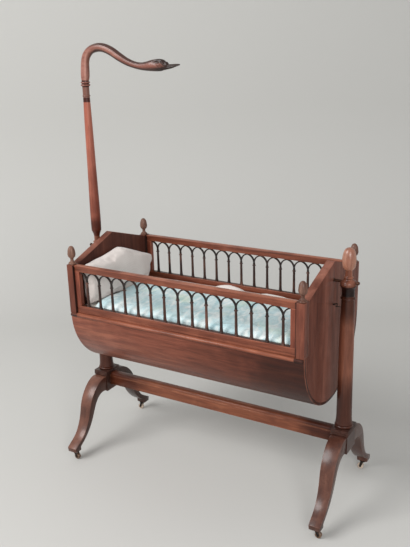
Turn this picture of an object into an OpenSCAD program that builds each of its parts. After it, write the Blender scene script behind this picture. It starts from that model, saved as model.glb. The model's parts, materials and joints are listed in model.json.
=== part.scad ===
// Swinging cradle on a two-column stand, with a swan-neck pole at the head end.
// Millimetres. X runs from head (-) to foot (+), Y from front (-) to back (+), Z up from the floor.

/* [Stand] */
// Distance between the axes of the two columns
column_spacing = 1100; // [1060:5:1200]
// Height of the swing axis above the floor
pivot_z = 884; // [850:1:960]
// Height of the top of the hubs that the columns stand on
hub_top_z = 324; // [300:1:350]
// Height of a hub from its underside to its top
hub_height = 92; // [80:1:110]
// Height of the moulded cap of a hub
hub_cap_height = 20; // [14:1:28]
// Width of a hub's cap along the cradle
hub_width = 67; // [60:1:80]
// Depth of a hub's cap across the cradle
hub_depth = 92; // [80:1:110]
// How far the cap of a hub stands proud of the block below it
hub_cap_overhang = 3; // [1:0.5:5]

/* [Columns] */
// Diameter of the shaft of a column at its foot
column_foot_d = 57; // [50:1:64]
// Diameter of the shaft of a column below its upper ring
column_neck_d = 45; // [38:1:48]
// Diameter of the collar that the pivot pin goes through
collar_d = 58; // [52:1:68]
// Diameter of the slender neck on top of a column
column_tip_d = 24; // [20:1:28]
// Diameter of the round tenon that a column stands on
column_tenon_d = 30; // [24:1:36]
// Depth of that tenon in the hub
column_tenon_depth = 70; // [50:1:76]
// Diameter of the dowels on top of the columns
top_dowel_d = 12; // [8:0.5:14]
// Depth of the dowels on top of the columns
top_dowel_depth = 24; // [16:1:24]
// Largest diameter of the egg-shaped knob
knob_d = 49; // [40:1:56]
// Height of the egg-shaped knob
knob_height = 82; // [70:1:95]

/* [Swan-neck pole] */
// Height of the turned pole above the column
pole_height = 602; // [500:1:660]
// Largest diameter of the pole, just above its foot
pole_d = 41; // [36:1:46]
// Diameter of the pole at its top
pole_top_d = 27; // [24:1:32]
// Diameter of the two rings of the collar on the pole
pole_collar_d = 37.5; // [34:0.5:42]
// Height of the collar on the pole
pole_collar_height = 26; // [22:1:34]

/* [Legs and stretcher] */
// Distance from the middle of the stand to the tip of a toe
leg_reach = 272; // [260:1:320]
// Width of a leg at its shoulder
leg_width_top = 58; // [50:1:62]
// Width of a leg at its toe
leg_width_toe = 42; // [36:1:50]
// Height of a leg's foot above the floor, which the caster fills
caster_height = 40; // [37:1:48]
// Thickness of the tenon of a leg
leg_tenon_t = 20; // [14:1:26]
// Length of the tenon of a leg
leg_tenon_len = 24; // [14:1:26]
// Depth of the stretcher across the cradle
stretcher_depth = 38; // [30:1:50]
// Height of the stretcher
stretcher_height = 57; // [45:1:66]
// How far the top of the stretcher lies below the top of the hubs
stretcher_drop = 11; // [4:1:20]
// Length of the tenons of the stretcher
stretcher_tenon_len = 13; // [8:1:14]
// Thickness of the tenons of the stretcher
stretcher_tenon_t = 16; // [12:1:22]

/* [Casters] */
// Distance from the tip of a toe to the stem of a caster
caster_inset = 25; // [20:1:34]
// Diameter of a caster's wheel
wheel_d = 25; // [20:1:28]
// Width of a caster's wheel
wheel_w = 14; // [10:1:18]
// How far a wheel trails behind its stem
caster_trail = 8; // [4:1:14]
// Diameter of a wheel's axle
axle_d = 4; // [3:0.5:5]
// Diameter of a caster's stem
stem_d = 8; // [6:0.5:9]
// Diameter of the plate under a leg
caster_plate_d = 27; // [24:1:32]
// Thickness of a cheek of the fork
fork_t = 2.2; // [1.6:0.1:3]

/* [Cradle] */
// Length of the cradle over its end panels
cradle_length = 996; // [970:2:1010]
// How far the corner posts stand out past the round hull
post_proud = 4; // [2:0.5:6]
// Thickness of the end panels
end_panel_t = 30; // [20:1:36]
// Width of a corner post along the cradle
post_w = 30; // [28:1:44]
// Depth of a corner post across the cradle
post_d = 38; // [30:1:46]
// Radius of the outer corner of a post
post_round = 4; // [2:1:10]
// How far the top of the posts lies below the swing axis
post_top_drop = 4; // [0:1:20]
// Diameter of the round foot of a finial
finial_foot_d = 30; // [24:1:34]
// Largest diameter of the acorn on top of a finial
finial_d = 31; // [24:1:36]
// Height of a finial
finial_h = 73; // [60:1:85]
// Height of the gable of an end panel above the posts
gable_rise = 72; // [50:1:90]
// Height of the corner posts
post_height = 196; // [180:1:220]
// Radius of the round hull
hull_r = 258; // [236:1:260]
// How far the hull's axis lies below the foot of the posts
hull_axis_drop = 6; // [2:1:20]
// Thickness of the hull
hull_t = 12; // [9:0.5:14]
// Half the width of the bottom board, which is hollowed and rounded like the sides
bottom_half = 105; // [80:1:130]
// Radius of the half-round bead along the foot of the gallery
bead_r = 8; // [6:0.5:9]

/* [Gallery] */
// Gap between a gallery frame and the corner posts
gallery_gap = 2.5; // [1:0.5:5]
// How far the gallery frame lies behind the face of the posts
gallery_recess = 7; // [4:0.5:9]
// Thickness of the gallery frame
gallery_t = 20; // [16:1:24]
// Height of the top rail
top_rail_h = 24; // [18:1:32]
// Height of the bottom rail
bottom_rail_h = 32; // [24:1:40]
// Width of the stiles at the ends of the frame
stile_w = 21; // [16:1:30]
// Number of balusters in a gallery
baluster_count = 15; // [11:2:19]
// Diameter of a baluster's shaft
baluster_d = 10.5; // [8:0.5:12]
// Diameter of a baluster's capital and foot
baluster_cap_d = 15; // [13:0.5:18]
// Width of the bars of the pointed arches
arch_bar = 5; // [4:0.5:7]
// Depth of the bars of the pointed arches
arch_depth = 7; // [5:0.5:10]
// Rise of the pointed arches
arch_rise = 35; // [31:1:42]
// Diameter of the pegs that hold the rails to the posts
peg_d = 8; // [6:0.5:10]
// Length of these pegs
peg_len = 22; // [16:1:24]

/* [Pivots and latch] */
// Diameter of the iron pivot pins
pin_d = 10; // [8:0.5:12]
// How far the head of a pivot pin stands off its column
pin_head_standoff = 3.5; // [0.5:0.5:6]
// Diameter of a pivot pin's head
pin_head_d = 13; // [11.5:0.5:18]
// Outer diameter of the iron bushes in the end panels
bush_d = 16; // [14.5:0.5:20]
// Length of these bushes
bush_len = 24; // [16:1:26]
// How far the pivot of the latch lies below the swing axis
latch_drop = 87; // [80:1:100]
// How far the latch lies in front of the middle
latch_offset = 6; // [4:0.5:8]
// Radius of the arc that the prong of the hook is bent to
hook_arc = 11; // [10.5:0.1:11.5]
// Thickness of the iron of the latch
latch_t = 2.4; // [2:0.1:2.8]
// How far the hook is lifted clear of its catch at rest, in degrees
hook_lift = 40; // [36:1:50]

/* [Bedding] */
// Height of the top of the mattress above the foot of the posts
mattress_top = 22; // [4:1:30]
// Thickness of the mattress
mattress_t = 95; // [70:1:110]
// Thickness of the slats under the mattress
slat_t = 12; // [9:1:16]
// Width of these slats
slat_w = 64; // [50:1:80]
// Number of slats
slat_count = 9; // [7:1:10]
// Height of the ledgers that the slats lie on
ledger_h = 14; // [10:1:20]
// Depth of these ledgers
ledger_d = 20; // [14:1:26]
// Length of the pillow across the cradle
pillow_l = 430; // [380:2:440]
// Height of the pillow where it stands highest
pillow_h = 190; // [160:2:210]
// Thickness of the pillow
pillow_t = 80; // [60:2:86]
// Lean of the pillow from upright, in degrees
pillow_lean = 8; // [4:1:12]
// How far the front corner of the pillow sags
pillow_sag_front = 32; // [10:1:60]
// How far the back corner of the pillow sags
pillow_sag_back = 88; // [20:1:110]
// Width of the quilt across the cradle
quilt_w = 335; // [300:1:340]
// Length of the quilt
quilt_l = 815; // [700:5:820]
// Thickness of the quilt between its folds
quilt_t = 22; // [8:1:26]
// Height of the folds of the quilt
quilt_fold = 9; // [4:1:12]
// Height of the rumpled sheet along the back
sheet_h = 34; // [20:1:44]

/* [Clearances] */
// Gap all round a glued joint, such as a tenon or a dowel
glue_gap = 0.1; // [0.05:0.05:0.2]
// Radial gap between a pin and what turns on it
running_gap = 0.05; // [0.02:0.01:0.08]
// Gap between the faces of parts that move past each other
side_gap = 0.4; // [0.3:0.1:0.8]
// Gap between bedding and wood
soft_gap = 0.4; // [0.3:0.1:0.8]

/* [Hidden] */
$fn = 48;

// Signs: the head end and the front are negative, the foot end and the back positive
HEAD = -1;
FOOT = 1;
FRONT = -1;
BACK = 1;

// Woods, metals and cloths
MAHOGANY = "#7d4638";
DARK_MAHOGANY = "#5c3a30";
EBONISED = "#3a2e2a";
IRON = "#2e2b29";
PORCELAIN = "#e6dccb";
WHITE_LINEN = "#dcd8d0";
PALE_SATIN = "#bcd8dc";

column_x = column_spacing / 2;
column_tip_z = pivot_z + 44;
pole_top_z = column_tip_z + pole_height;
neck_base_z = pole_top_z + pole_collar_height;

hub_bottom_z = hub_top_z - hub_height;
hub_cap_z = hub_top_z - hub_cap_height;
hub_block_w = hub_width - 2 * hub_cap_overhang;
hub_block_d = hub_depth - 2 * hub_cap_overhang;
shoulder_z = hub_cap_z - 1;
leg_tenon_low = hub_bottom_z + 14;
leg_tenon_high = hub_cap_z - 14;

stretcher_top_z = hub_top_z - stretcher_drop;
stretcher_low_z = stretcher_top_z - stretcher_height;
stretcher_half = column_x - hub_block_w / 2;
stretcher_tenon_h = stretcher_height - 20;
stretcher_tenon_low = stretcher_low_z + 8;

caster_plate_t = 3;
caster_y = leg_reach - caster_inset;
caster_sleeve_d = stem_d + 3;
caster_sleeve_h = 18;
caster_plate_z = caster_height - caster_plate_t;
fork_top_z = caster_plate_z - side_gap;
fork_crown_t = 3;
fork_crown_d = 22;
fork_eye_r = axle_d / 2 + 2.4;
wheel_r = wheel_d / 2;
cheek_y = wheel_w / 2 + side_gap;
axle_len = 2 * (cheek_y + fork_t) + 1.6;

half_length = cradle_length / 2;
half_width = hull_r + post_proud;
post_top_z = pivot_z - post_top_drop;
post_foot_z = post_top_z - post_height;
post_inner_x = half_length - post_w;
post_inner_y = half_width - post_d;
panel_inner_x = half_length - end_panel_t;
hull_z = post_foot_z - hull_axis_drop;
hull_in_r = hull_r - hull_t;
bead_z = post_foot_z - bead_r;

frame_half = post_inner_x - gallery_gap;
frame_front = half_width - gallery_recess;
frame_mid = frame_front - gallery_t / 2;
frame_inner = frame_front - gallery_t;
opening_half = frame_half - stile_w;
bottom_rail_z = post_foot_z + bottom_rail_h;
top_rail_z = post_top_z - top_rail_h;
bay = 2 * opening_half / baluster_count;
arch_r = (arch_rise * arch_rise + bay * bay / 4) / bay;
spring_z = top_rail_z - sqrt(pow(arch_r + arch_bar / 2, 2) - pow(arch_r - bay / 2, 2)) + 0.3;
impost_h = 3;
rail_nose_h = 6;
rail_nose = 3;

pin_in_x = half_length - bush_len + 4;
pin_head_x = column_x + collar_d / 2 + pin_head_standoff;
pin_head_len = 8;
latch_z = pivot_z - latch_drop;
latch_x = half_length + 5;
latch_eye_r = 3.5;
latch_eye_y = -latch_offset - latch_t - side_gap;
latch_screw_len = 14;
catch_ring_r = 3.6;
catch_wire_r = 1.1;
catch_angle = 39;
catch_x = latch_x + hook_arc * cos(catch_angle);
catch_z = latch_z - hook_arc * sin(catch_angle);
catch_depth = 6;

mattress_z = post_foot_z + mattress_top;
slat_z = mattress_z - mattress_t - soft_gap - slat_t;
slat_half = sqrt(pow(hull_in_r, 2) - pow(hull_z - slat_z, 2)) - 3;
quilt_x0 = -quilt_l / 2 + 43;
quilt_y0 = -frame_inner + 3;

// Curves -------------------------------------------------------------------

function arc(cx, cy, r, from, to, n) =
    [for (i = [0:n]) let (a = from + (to - from) * i / n) [cx + r * cos(a), cy + r * sin(a)]];

function clamp_at(p, i) = p[max(0, min(len(p) - 1, i))];

function blend_at(a, b, c, d, t) =
    0.5 * (2 * b + (c - a) * t + (2 * a - 5 * b + 4 * c - d) * t * t
        + (3 * b - a - 3 * c + d) * t * t * t);

// A smooth curve through the points p, with n steps from each point to the next
function curve(p, n) = [
    for (i = [0:len(p) - 2]) for (k = [0:n - 1])
        blend_at(clamp_at(p, i - 1), p[i], p[i + 1], clamp_at(p, i + 2), k / n),
    p[len(p) - 1]
];

function flip(p) = [for (i = [len(p) - 1:-1:0]) p[i]];

// A flat shape in Y and Z, as thick as len along X
module along_x(len) rotate([90, 0, 90]) linear_extrude(len, center = true) children();

// A flat shape in X and Z, as thick as len along Y
module along_y(len) rotate([90, 0, 0]) linear_extrude(len, center = true) children();

module at_column(end) translate([end * column_x, 0, 0]) children();

module rod_x(d, from, to) translate([from, 0, 0]) rotate([0, 90, 0]) cylinder(h = to - from, d = d);

// Columns, pole and swan neck ------------------------------------------------

foot_r = column_foot_d / 2;
neck_r = column_neck_d / 2;
collar_r = collar_d / 2;
tip_r = column_tip_d / 2;
torus_r = 5.5;
ring_r = 4;
ring_z = pivot_z - 58;
tip_bead_r = 4.5;

function column_outline() = concat(
    [[0, hub_top_z - column_tenon_depth], [column_tenon_d / 2, hub_top_z - column_tenon_depth],
     [column_tenon_d / 2, hub_top_z]],
    arc(foot_r, hub_top_z + torus_r, torus_r, -90, 90, 8),
    curve([[foot_r + 3, hub_top_z + 2 * torus_r + 2], [foot_r + 1, hub_top_z + 26],
           [foot_r, hub_top_z + 40]], 4),
    curve([[foot_r - 1.5, hub_top_z + 0.42 * (ring_z - hub_top_z)],
           [(foot_r + neck_r) / 2 + 0.5, hub_top_z + 0.75 * (ring_z - hub_top_z)],
           [neck_r, ring_z - ring_r]], 3),
    arc(neck_r, ring_z, ring_r, -90, 90, 6),
    [[neck_r, pivot_z - 32]],
    curve([[neck_r + 0.5, pivot_z - 25], [neck_r + 3, pivot_z - 18], [collar_r, pivot_z - 13]], 4),
    [[collar_r, pivot_z - 4]],
    curve([[collar_r - 1.5, pivot_z - 1], [neck_r + 3, pivot_z + 3.5], [tip_r + 5, pivot_z + 9],
           [tip_r + 2.5, pivot_z + 13]], 3),
    arc(tip_r + 0.5, pivot_z + 17.5, tip_bead_r, -60, 90, 6),
    [[tip_r, pivot_z + 23], [tip_r, column_tip_z], [0, column_tip_z]]
);

module column(end) color(MAHOGANY) at_column(end) difference() {
    rotate_extrude($fn = 64) polygon(column_outline());
    translate([0, 0, pivot_z]) rod_x(pin_d + 2 * running_gap, -collar_r - 1, collar_r + 1);
    translate([0, 0, column_tip_z - top_dowel_depth - glue_gap])
        cylinder(h = top_dowel_depth + 1, d = top_dowel_d + 2 * glue_gap);
    if (end == FOOT)
        translate([0, -latch_offset, catch_z])
            rod_x(latch_t + 2 * glue_gap, -foot_r, -catch_depth - glue_gap);
}

module top_dowel() translate([0, 0, column_tip_z - top_dowel_depth])
    cylinder(h = top_dowel_depth + 1, d = top_dowel_d);

module head_column() column(HEAD);
module foot_column() column(FOOT);

module foot_knob() color(MAHOGANY) at_column(FOOT) {
    r = knob_d / 2;
    h = knob_height;
    translate([0, 0, column_tip_z]) rotate_extrude($fn = 64) polygon(concat(
        [[0, 0]],
        curve([[tip_r, 0], [0.7 * r, 0.05 * h], [0.9 * r, 0.18 * h], [r, 0.39 * h],
               [0.97 * r, 0.6 * h], [0.8 * r, 0.81 * h], [0.5 * r, 0.94 * h], [0, h]], 4)));
    top_dowel();
}

module swan_pole() color(MAHOGANY) at_column(HEAD) {
    r = pole_d / 2;
    t = pole_top_d / 2;
    h = pole_height;
    translate([0, 0, column_tip_z]) difference() {
        rotate_extrude($fn = 64) polygon(concat(
            [[0, 0], [tip_r, 0]],
            curve([[tip_r + 1, 4], [0.72 * r, 11], [0.9 * r, 20], [r, 0.056 * h], [r, 0.2 * h],
                   [0.88 * r, 0.45 * h], [(r + 2 * t) / 3, 0.74 * h], [t, h - 40]], 4),
            arc(t, h - 34, 2.5, -90, 90, 4),
            [[t, h - 28], [t, h], [0, h]]));
        translate([0, 0, h - top_dowel_depth - glue_gap])
            cylinder(h = top_dowel_depth + 1, d = top_dowel_d + 2 * glue_gap);
    }
    top_dowel();
}

module pole_collar() color(DARK_MAHOGANY) at_column(HEAD) translate([0, 0, pole_top_z]) {
    r = pole_collar_d / 2;
    h = pole_collar_height;
    core = pole_top_d / 2;
    rotate_extrude($fn = 64) polygon(concat(
        [[0, -top_dowel_depth], [top_dowel_d / 2, -top_dowel_depth], [top_dowel_d / 2, 0], [core, 0]],
        arc(r - 4, 0.28 * h, 4, -90, 90, 6),
        [[core + 0.5, 0.47 * h]],
        arc(r - 4, 0.66 * h, 3.6, -90, 90, 6),
        [[core + 1, h - 2], [core + 2, h], [0, h]]));
}

// The swan's neck and head: place along X and Z from the top of the pole's collar,
// half height across the neck, and half width
neck_rows = [
    [0, 0, 15.5, 15.5], [2, 18, 17.4, 17.4], [4, 44, 17, 17], [7, 70, 16, 16],
    [16, 93, 16.2, 16.4], [38, 112.5, 15.8, 16.6], [72, 121.5, 16.4, 17], [105, 118.5, 16.6, 17],
    [138, 105.5, 16.8, 16.5], [170, 87, 15.8, 15.5], [205, 69, 14, 13.8], [240, 57, 12.7, 12.7],
    [270, 52, 13.8, 13.2], [295, 52, 16.8, 14.4], [318, 54, 20.2, 16], [345, 55.5, 22.2, 16.6],
    [365, 55.5, 20.6, 15.4], [380, 52.5, 14.5, 12], [392, 50.5, 9.3, 9.6], [408, 52, 6.6, 8],
    [424, 55, 4, 6], [440, 57, 1.4, 3]
];

function neck_ring(q, tangent, sides) = let (t = tangent / norm(tangent))
    [for (k = [0:sides - 1]) let (a = 360 * k / sides)
        [q[0] - t[1] * q[2] * cos(a), q[3] * sin(a), q[1] + t[0] * q[2] * cos(a)]];

// A closed skin over rings of points, all with the same number of sides
module skin(rings) {
    n = len(rings);
    sides = len(rings[0]);
    polyhedron(
        points = [for (ring = rings) for (p = ring) p],
        faces = concat(
            [[for (k = [0:sides - 1]) k]],
            [[for (k = [sides - 1:-1:0]) (n - 1) * sides + k]],
            [for (i = [0:n - 2]) for (k = [0:sides - 1]) let (j = (k + 1) % sides)
                [i * sides + k, (i + 1) * sides + k, (i + 1) * sides + j, i * sides + j]]));
}

module swan_neck() color(MAHOGANY) at_column(HEAD) translate([0, 0, neck_base_z]) {
    q = curve(neck_rows, 2);
    last = len(q) - 1;
    skin([for (i = [0:last])
        let (a = q[max(0, i - 1)], b = q[min(last, i + 1)])
        neck_ring(q[i], i == 0 ? [0, 1] : [b[0] - a[0], b[1] - a[1]], 16)]);
}

// Hubs, stretcher and legs ---------------------------------------------------

module box_on(w, d, low, high) translate([-w / 2, -d / 2, low]) cube([w, d, high - low]);

module hub(end) color(DARK_MAHOGANY) at_column(end) difference() {
    union() {
        box_on(hub_block_w, hub_block_d, hub_bottom_z, hub_top_z - 1);
        box_on(hub_width, hub_depth, hub_cap_z, hub_cap_z + 0.3 * hub_cap_height);
        box_on(hub_width - 4, hub_depth - 4, hub_cap_z, hub_top_z - 1);
        box_on(hub_width, hub_depth, hub_cap_z + 0.42 * hub_cap_height, hub_cap_z + 0.72 * hub_cap_height);
        box_on(hub_width - 1, hub_depth - 1, hub_cap_z + 0.84 * hub_cap_height, hub_top_z);
    }
    translate([0, 0, hub_top_z - column_tenon_depth - glue_gap])
        cylinder(h = column_tenon_depth + 1, d = column_tenon_d + 2 * glue_gap, $fn = 64);
    for (side = [FRONT, BACK])
        translate([0, side * (hub_block_d / 2 - leg_tenon_len / 2), 0])
            box_on(leg_tenon_t + 2 * glue_gap, leg_tenon_len + 2 * glue_gap,
                   leg_tenon_low - glue_gap, leg_tenon_high + glue_gap);
    translate([-end * (hub_block_w / 2 - stretcher_tenon_len / 2), 0, 0])
        box_on(stretcher_tenon_len + 2 * glue_gap, stretcher_tenon_t + 2 * glue_gap,
               stretcher_tenon_low - glue_gap, stretcher_tenon_low + stretcher_tenon_h + glue_gap);
    translate([-end * (hub_block_w / 2 + hub_cap_overhang), 0, 0])
        along_x(2 * hub_cap_overhang) stretcher_section();
}

module head_hub() hub(HEAD);
module foot_hub() hub(FOOT);

module stretcher_section() {
    d = stretcher_depth / 2;
    low = stretcher_low_z;
    high = stretcher_top_z;
    polygon(concat(
        [[-d + 1.5, low], [d - 1.5, low], [d, low + 1.5], [d, high - 17], [d - 2, high - 15.5],
         [d - 2, high - 13.5], [d, high - 12]],
        curve([[d, high - 9], [d - 3.5, high - 3], [0.45 * d, high - 0.6], [0, high],
               [-0.45 * d, high - 0.6], [3.5 - d, high - 3], [-d, high - 9]], 3),
        [[-d, high - 12], [2 - d, high - 13.5], [2 - d, high - 15.5], [-d, high - 17],
         [-d, low + 1.5]]));
}

module stretcher() color(MAHOGANY) {
    along_x(2 * stretcher_half) stretcher_section();
    for (end = [HEAD, FOOT])
        translate([end * (stretcher_half + stretcher_tenon_len / 2 - 0.5), 0, 0])
            box_on(stretcher_tenon_len + 1, stretcher_tenon_t, stretcher_tenon_low,
                   stretcher_tenon_low + stretcher_tenon_h);
}

// Outer and inner curve of a leg, as shares of its reach and of its height
leg_outer = [[0, 0.996], [0.1, 1], [0.21, 0.968], [0.32, 0.9], [0.43, 0.792], [0.51, 0.66],
             [0.555, 0.53], [0.6, 0.415], [0.67, 0.3], [0.78, 0.19], [1, 0.072]];
leg_inner = [[0, 0.755], [0.15, 0.765], [0.265, 0.715], [0.345, 0.63], [0.41, 0.515],
             [0.475, 0.395], [0.56, 0.28], [0.68, 0.165], [0.845, 0.06]];

function on_leg(p) = [hub_block_d / 2 + p[0] * (leg_reach - hub_block_d / 2),
                      caster_height + p[1] * (shoulder_z - caster_height)];

module leg(end, side) color(MAHOGANY) at_column(end) mirror([0, side == FRONT ? 1 : 0, 0])
difference() {
    union() {
        intersection() {
            along_x(leg_width_top) polygon(concat(
                curve([for (p = leg_outer) on_leg(p)], 3),
                [on_leg([0.99, 0])], [on_leg([0.845, 0])],
                flip(curve([for (p = leg_inner) on_leg(p)], 3))));
            along_y(3 * leg_reach) polygon([
                [-leg_width_top / 2, shoulder_z + 1], [leg_width_top / 2, shoulder_z + 1],
                [leg_width_toe / 2, caster_height - 1], [-leg_width_toe / 2, caster_height - 1]]);
        }
        translate([0, hub_block_d / 2 - leg_tenon_len / 2 + 0.5, 0])
            box_on(leg_tenon_t, leg_tenon_len + 1, leg_tenon_low, leg_tenon_high);
    }
    translate([0, caster_y, caster_height - 1])
        cylinder(h = caster_sleeve_h + glue_gap + 1, d = caster_sleeve_d + 2 * glue_gap);
}

module head_front_leg() leg(HEAD, FRONT);
module head_back_leg() leg(HEAD, BACK);
module foot_front_leg() leg(FOOT, FRONT);
module foot_back_leg() leg(FOOT, BACK);

// Casters ----------------------------------------------------------------------

// The front casters trail towards the foot end, the back ones towards the head end
module at_caster(end, side) translate([end * column_x, side * caster_y, 0])
    mirror([side == BACK ? 1 : 0, 0, 0]) children();

module caster_plates() color(IRON) for (end = [HEAD, FOOT], side = [FRONT, BACK])
    at_caster(end, side) difference() {
        union() {
            translate([0, 0, caster_plate_z]) cylinder(h = caster_plate_t, d = caster_plate_d);
            translate([0, 0, caster_plate_z]) cylinder(h = caster_plate_t + caster_sleeve_h,
                                                       d = caster_sleeve_d);
        }
        translate([0, 0, caster_plate_z - 1])
            cylinder(h = caster_plate_t + caster_sleeve_h - 1, d = stem_d + 2 * running_gap);
    }

module fork(end, side) color(IRON) at_caster(end, side) difference() {
    union() {
        translate([0, 0, fork_top_z - fork_crown_t]) cylinder(h = fork_crown_t, d = fork_crown_d);
        translate([0, 0, fork_top_z - 1]) cylinder(h = caster_sleeve_h, d = stem_d);
        for (cheek = [-1, 1])
            translate([0, cheek * (cheek_y + fork_t / 2), 0]) along_y(fork_t) {
                polygon([[-6, fork_top_z - 1], [6, fork_top_z - 1],
                         [caster_trail + fork_eye_r, wheel_r + 1], [caster_trail, wheel_r - 1],
                         [caster_trail - fork_eye_r, wheel_r + 1]]);
                translate([caster_trail, wheel_r]) circle(r = fork_eye_r);
            }
    }
    translate([caster_trail, 0, wheel_r]) rotate([90, 0, 0])
        cylinder(h = 3 * wheel_w, d = axle_d + 0.02, center = true);
}

module axle(end, side) color(IRON) at_caster(end, side)
    translate([caster_trail, 0, wheel_r]) rotate([90, 0, 0])
        cylinder(h = axle_len, d = axle_d, center = true);

module wheel(end, side) color(PORCELAIN) at_caster(end, side)
    translate([caster_trail, 0, wheel_r]) rotate([90, 0, 0]) rotate_extrude($fn = 64)
        polygon(concat(
            [[axle_d / 2 + running_gap, -wheel_w / 2], [wheel_r - 3, -wheel_w / 2]],
            arc(wheel_r - 3, -wheel_w / 2 + 3, 3, -60, 0, 4),
            arc(wheel_r - 3, wheel_w / 2 - 3, 3, 0, 60, 4),
            [[wheel_r - 3, wheel_w / 2], [axle_d / 2 + running_gap, wheel_w / 2]]));

module head_front_fork() fork(HEAD, FRONT);
module head_front_axle() axle(HEAD, FRONT);
module head_front_wheel() wheel(HEAD, FRONT);
module head_back_fork() fork(HEAD, BACK);
module head_back_axle() axle(HEAD, BACK);
module head_back_wheel() wheel(HEAD, BACK);
module foot_front_fork() fork(FOOT, FRONT);
module foot_front_axle() axle(FOOT, FRONT);
module foot_front_wheel() wheel(FOOT, FRONT);
module foot_back_fork() fork(FOOT, BACK);
module foot_back_axle() axle(FOOT, BACK);
module foot_back_wheel() wheel(FOOT, BACK);

// Pivots -------------------------------------------------------------------------

module pivot_pin(end) color(IRON) mirror([end == HEAD ? 1 : 0, 0, 0])
    translate([0, 0, pivot_z]) {
        rod_x(pin_d, pin_in_x, pin_head_x + 0.5);
        translate([pin_head_x, 0, 0]) rotate([0, 90, 0]) rotate_extrude() polygon(concat(
            [[0, 0], [pin_head_d / 2, 0]],
            curve([[pin_head_d / 2, 3], [0.42 * pin_head_d, 5.5], [0.22 * pin_head_d, 7.4],
                   [0, pin_head_len]], 3)));
    }

module head_pivot_pin() pivot_pin(HEAD);
module foot_pivot_pin() pivot_pin(FOOT);

module pivot_bushes() color(IRON) for (end = [HEAD, FOOT])
    mirror([end == HEAD ? 1 : 0, 0, 0]) translate([0, 0, pivot_z]) difference() {
        rod_x(bush_d, half_length - bush_len, half_length);
        rod_x(pin_d + 2 * running_gap, half_length - bush_len - 1, half_length + 1);
    }

// Cradle -------------------------------------------------------------------------

// The hull's outline in Y and Z, round below its axis and straight above it
module hull_outline(r, top) intersection() {
    union() {
        translate([0, hull_z]) circle(r = r, $fn = 180);
        translate([-r, hull_z]) square([2 * r, top - hull_z]);
    }
    translate([-r, hull_z - 2 * r]) square([2 * r, 2 * r + top - hull_z]);
}

module end_panel(end) color(MAHOGANY) difference() {
    translate([end * (half_length - end_panel_t / 2), 0, 0]) along_x(end_panel_t) {
        hull_outline(hull_in_r - glue_gap, post_foot_z);
        polygon([[-post_inner_y, post_foot_z - 1], [post_inner_y, post_foot_z - 1],
                 [post_inner_y, post_top_z], [3, post_top_z + gable_rise],
                 [-3, post_top_z + gable_rise], [-post_inner_y, post_top_z]]);
    }
    mirror([end == HEAD ? 1 : 0, 0, 0]) {
        translate([0, 0, pivot_z])
            rod_x(bush_d + 2 * glue_gap, half_length - bush_len - glue_gap, half_length + 1);
        if (end == FOOT)
            translate([0, latch_eye_y, latch_z])
                rod_x(latch_t + 2 * glue_gap, half_length - latch_screw_len - glue_gap, latch_x);
    }
}

module head_panel() end_panel(HEAD);
module foot_panel() end_panel(FOOT);

finial_dowel_d = 9;
finial_dowel_len = 16;
finial_x = half_length - post_w / 2;
finial_y = half_width - post_d / 2;

module post(end, side) color(MAHOGANY)
    mirror([end == HEAD ? 1 : 0, 0, 0]) mirror([0, side == FRONT ? 1 : 0, 0]) difference() {
        union() {
            translate([post_inner_x, post_inner_y, post_foot_z])
                cube([post_w - post_round, post_d, post_height]);
            translate([post_inner_x, post_inner_y, post_foot_z])
                cube([post_w, post_d - post_round, post_height]);
            translate([half_length - post_round, half_width - post_round, post_foot_z])
                cylinder(h = post_height, r = post_round);
        }
        translate([finial_x, finial_y, post_top_z - finial_dowel_len - glue_gap])
            cylinder(h = finial_dowel_len + 1, d = finial_dowel_d + 2 * glue_gap);
        for (z = [post_foot_z + bottom_rail_h / 2, post_top_z - top_rail_h / 2 - 2])
            translate([0, frame_mid, z])
                rod_x(peg_d + 2 * glue_gap, post_inner_x - 1,
                      post_inner_x + (peg_len - gallery_gap) / 2 + glue_gap);
    }

module head_front_post() post(HEAD, FRONT);
module head_back_post() post(HEAD, BACK);
module foot_front_post() post(FOOT, FRONT);
module foot_back_post() post(FOOT, BACK);

// A turned acorn on a slender stem and a round foot, with its dowel
module finial() {
    f = finial_foot_d / 2;
    r = finial_d / 2;
    h = finial_h;
    rotate_extrude() polygon(concat(
        [[0, -finial_dowel_len], [finial_dowel_d / 2, -finial_dowel_len],
         [finial_dowel_d / 2, 0], [f - 1.5, 0], [f, 0.02 * h], [f, 0.06 * h], [0.93 * f, 0.08 * h],
         [0.8 * f, 0.085 * h], [0.8 * f, 0.11 * h]],
        curve([[0.7 * f, 0.125 * h], [0.48 * r, 0.17 * h], [0.4 * r, 0.25 * h],
               [0.46 * r, 0.33 * h]], 3),
        curve([[0.6 * r, 0.355 * h], [0.86 * r, 0.42 * h], [r, 0.53 * h], [0.99 * r, 0.62 * h]], 3),
        [[0.95 * r, 0.63 * h], [0.95 * r, 0.645 * h]],
        curve([[0.96 * r, 0.66 * h], [0.87 * r, 0.79 * h], [0.64 * r, 0.91 * h],
               [0.33 * r, 0.98 * h], [0, h]], 3)));
}

module finials() color(DARK_MAHOGANY) for (x = [-finial_x, finial_x], y = [-finial_y, finial_y])
    translate([x, y, post_top_z]) finial();

// Gallery ------------------------------------------------------------------------

module at_gallery(side) translate([0, side * frame_mid, 0]) children();

module peg_holes(z) for (end = [-1, 1])
    translate([end * frame_half, 0, z]) rotate([0, 90, 0])
        cylinder(h = peg_len - gallery_gap + 2 * glue_gap, d = peg_d + 2 * glue_gap, center = true);

module top_rail(side) color(MAHOGANY) at_gallery(side) difference() {
    h = gallery_t / 2;
    nose = post_top_z - rail_nose_h / 2;
    along_x(2 * frame_half) polygon(concat(
        [[-h, top_rail_z], [h, top_rail_z], [h, post_top_z - rail_nose_h]],
        arc(h, nose, rail_nose_h / 2, -90, 90, 6),
        arc(-h, nose, rail_nose_h / 2, 90, 270, 6)));
    peg_holes(post_top_z - top_rail_h / 2 - 2);
}

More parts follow.
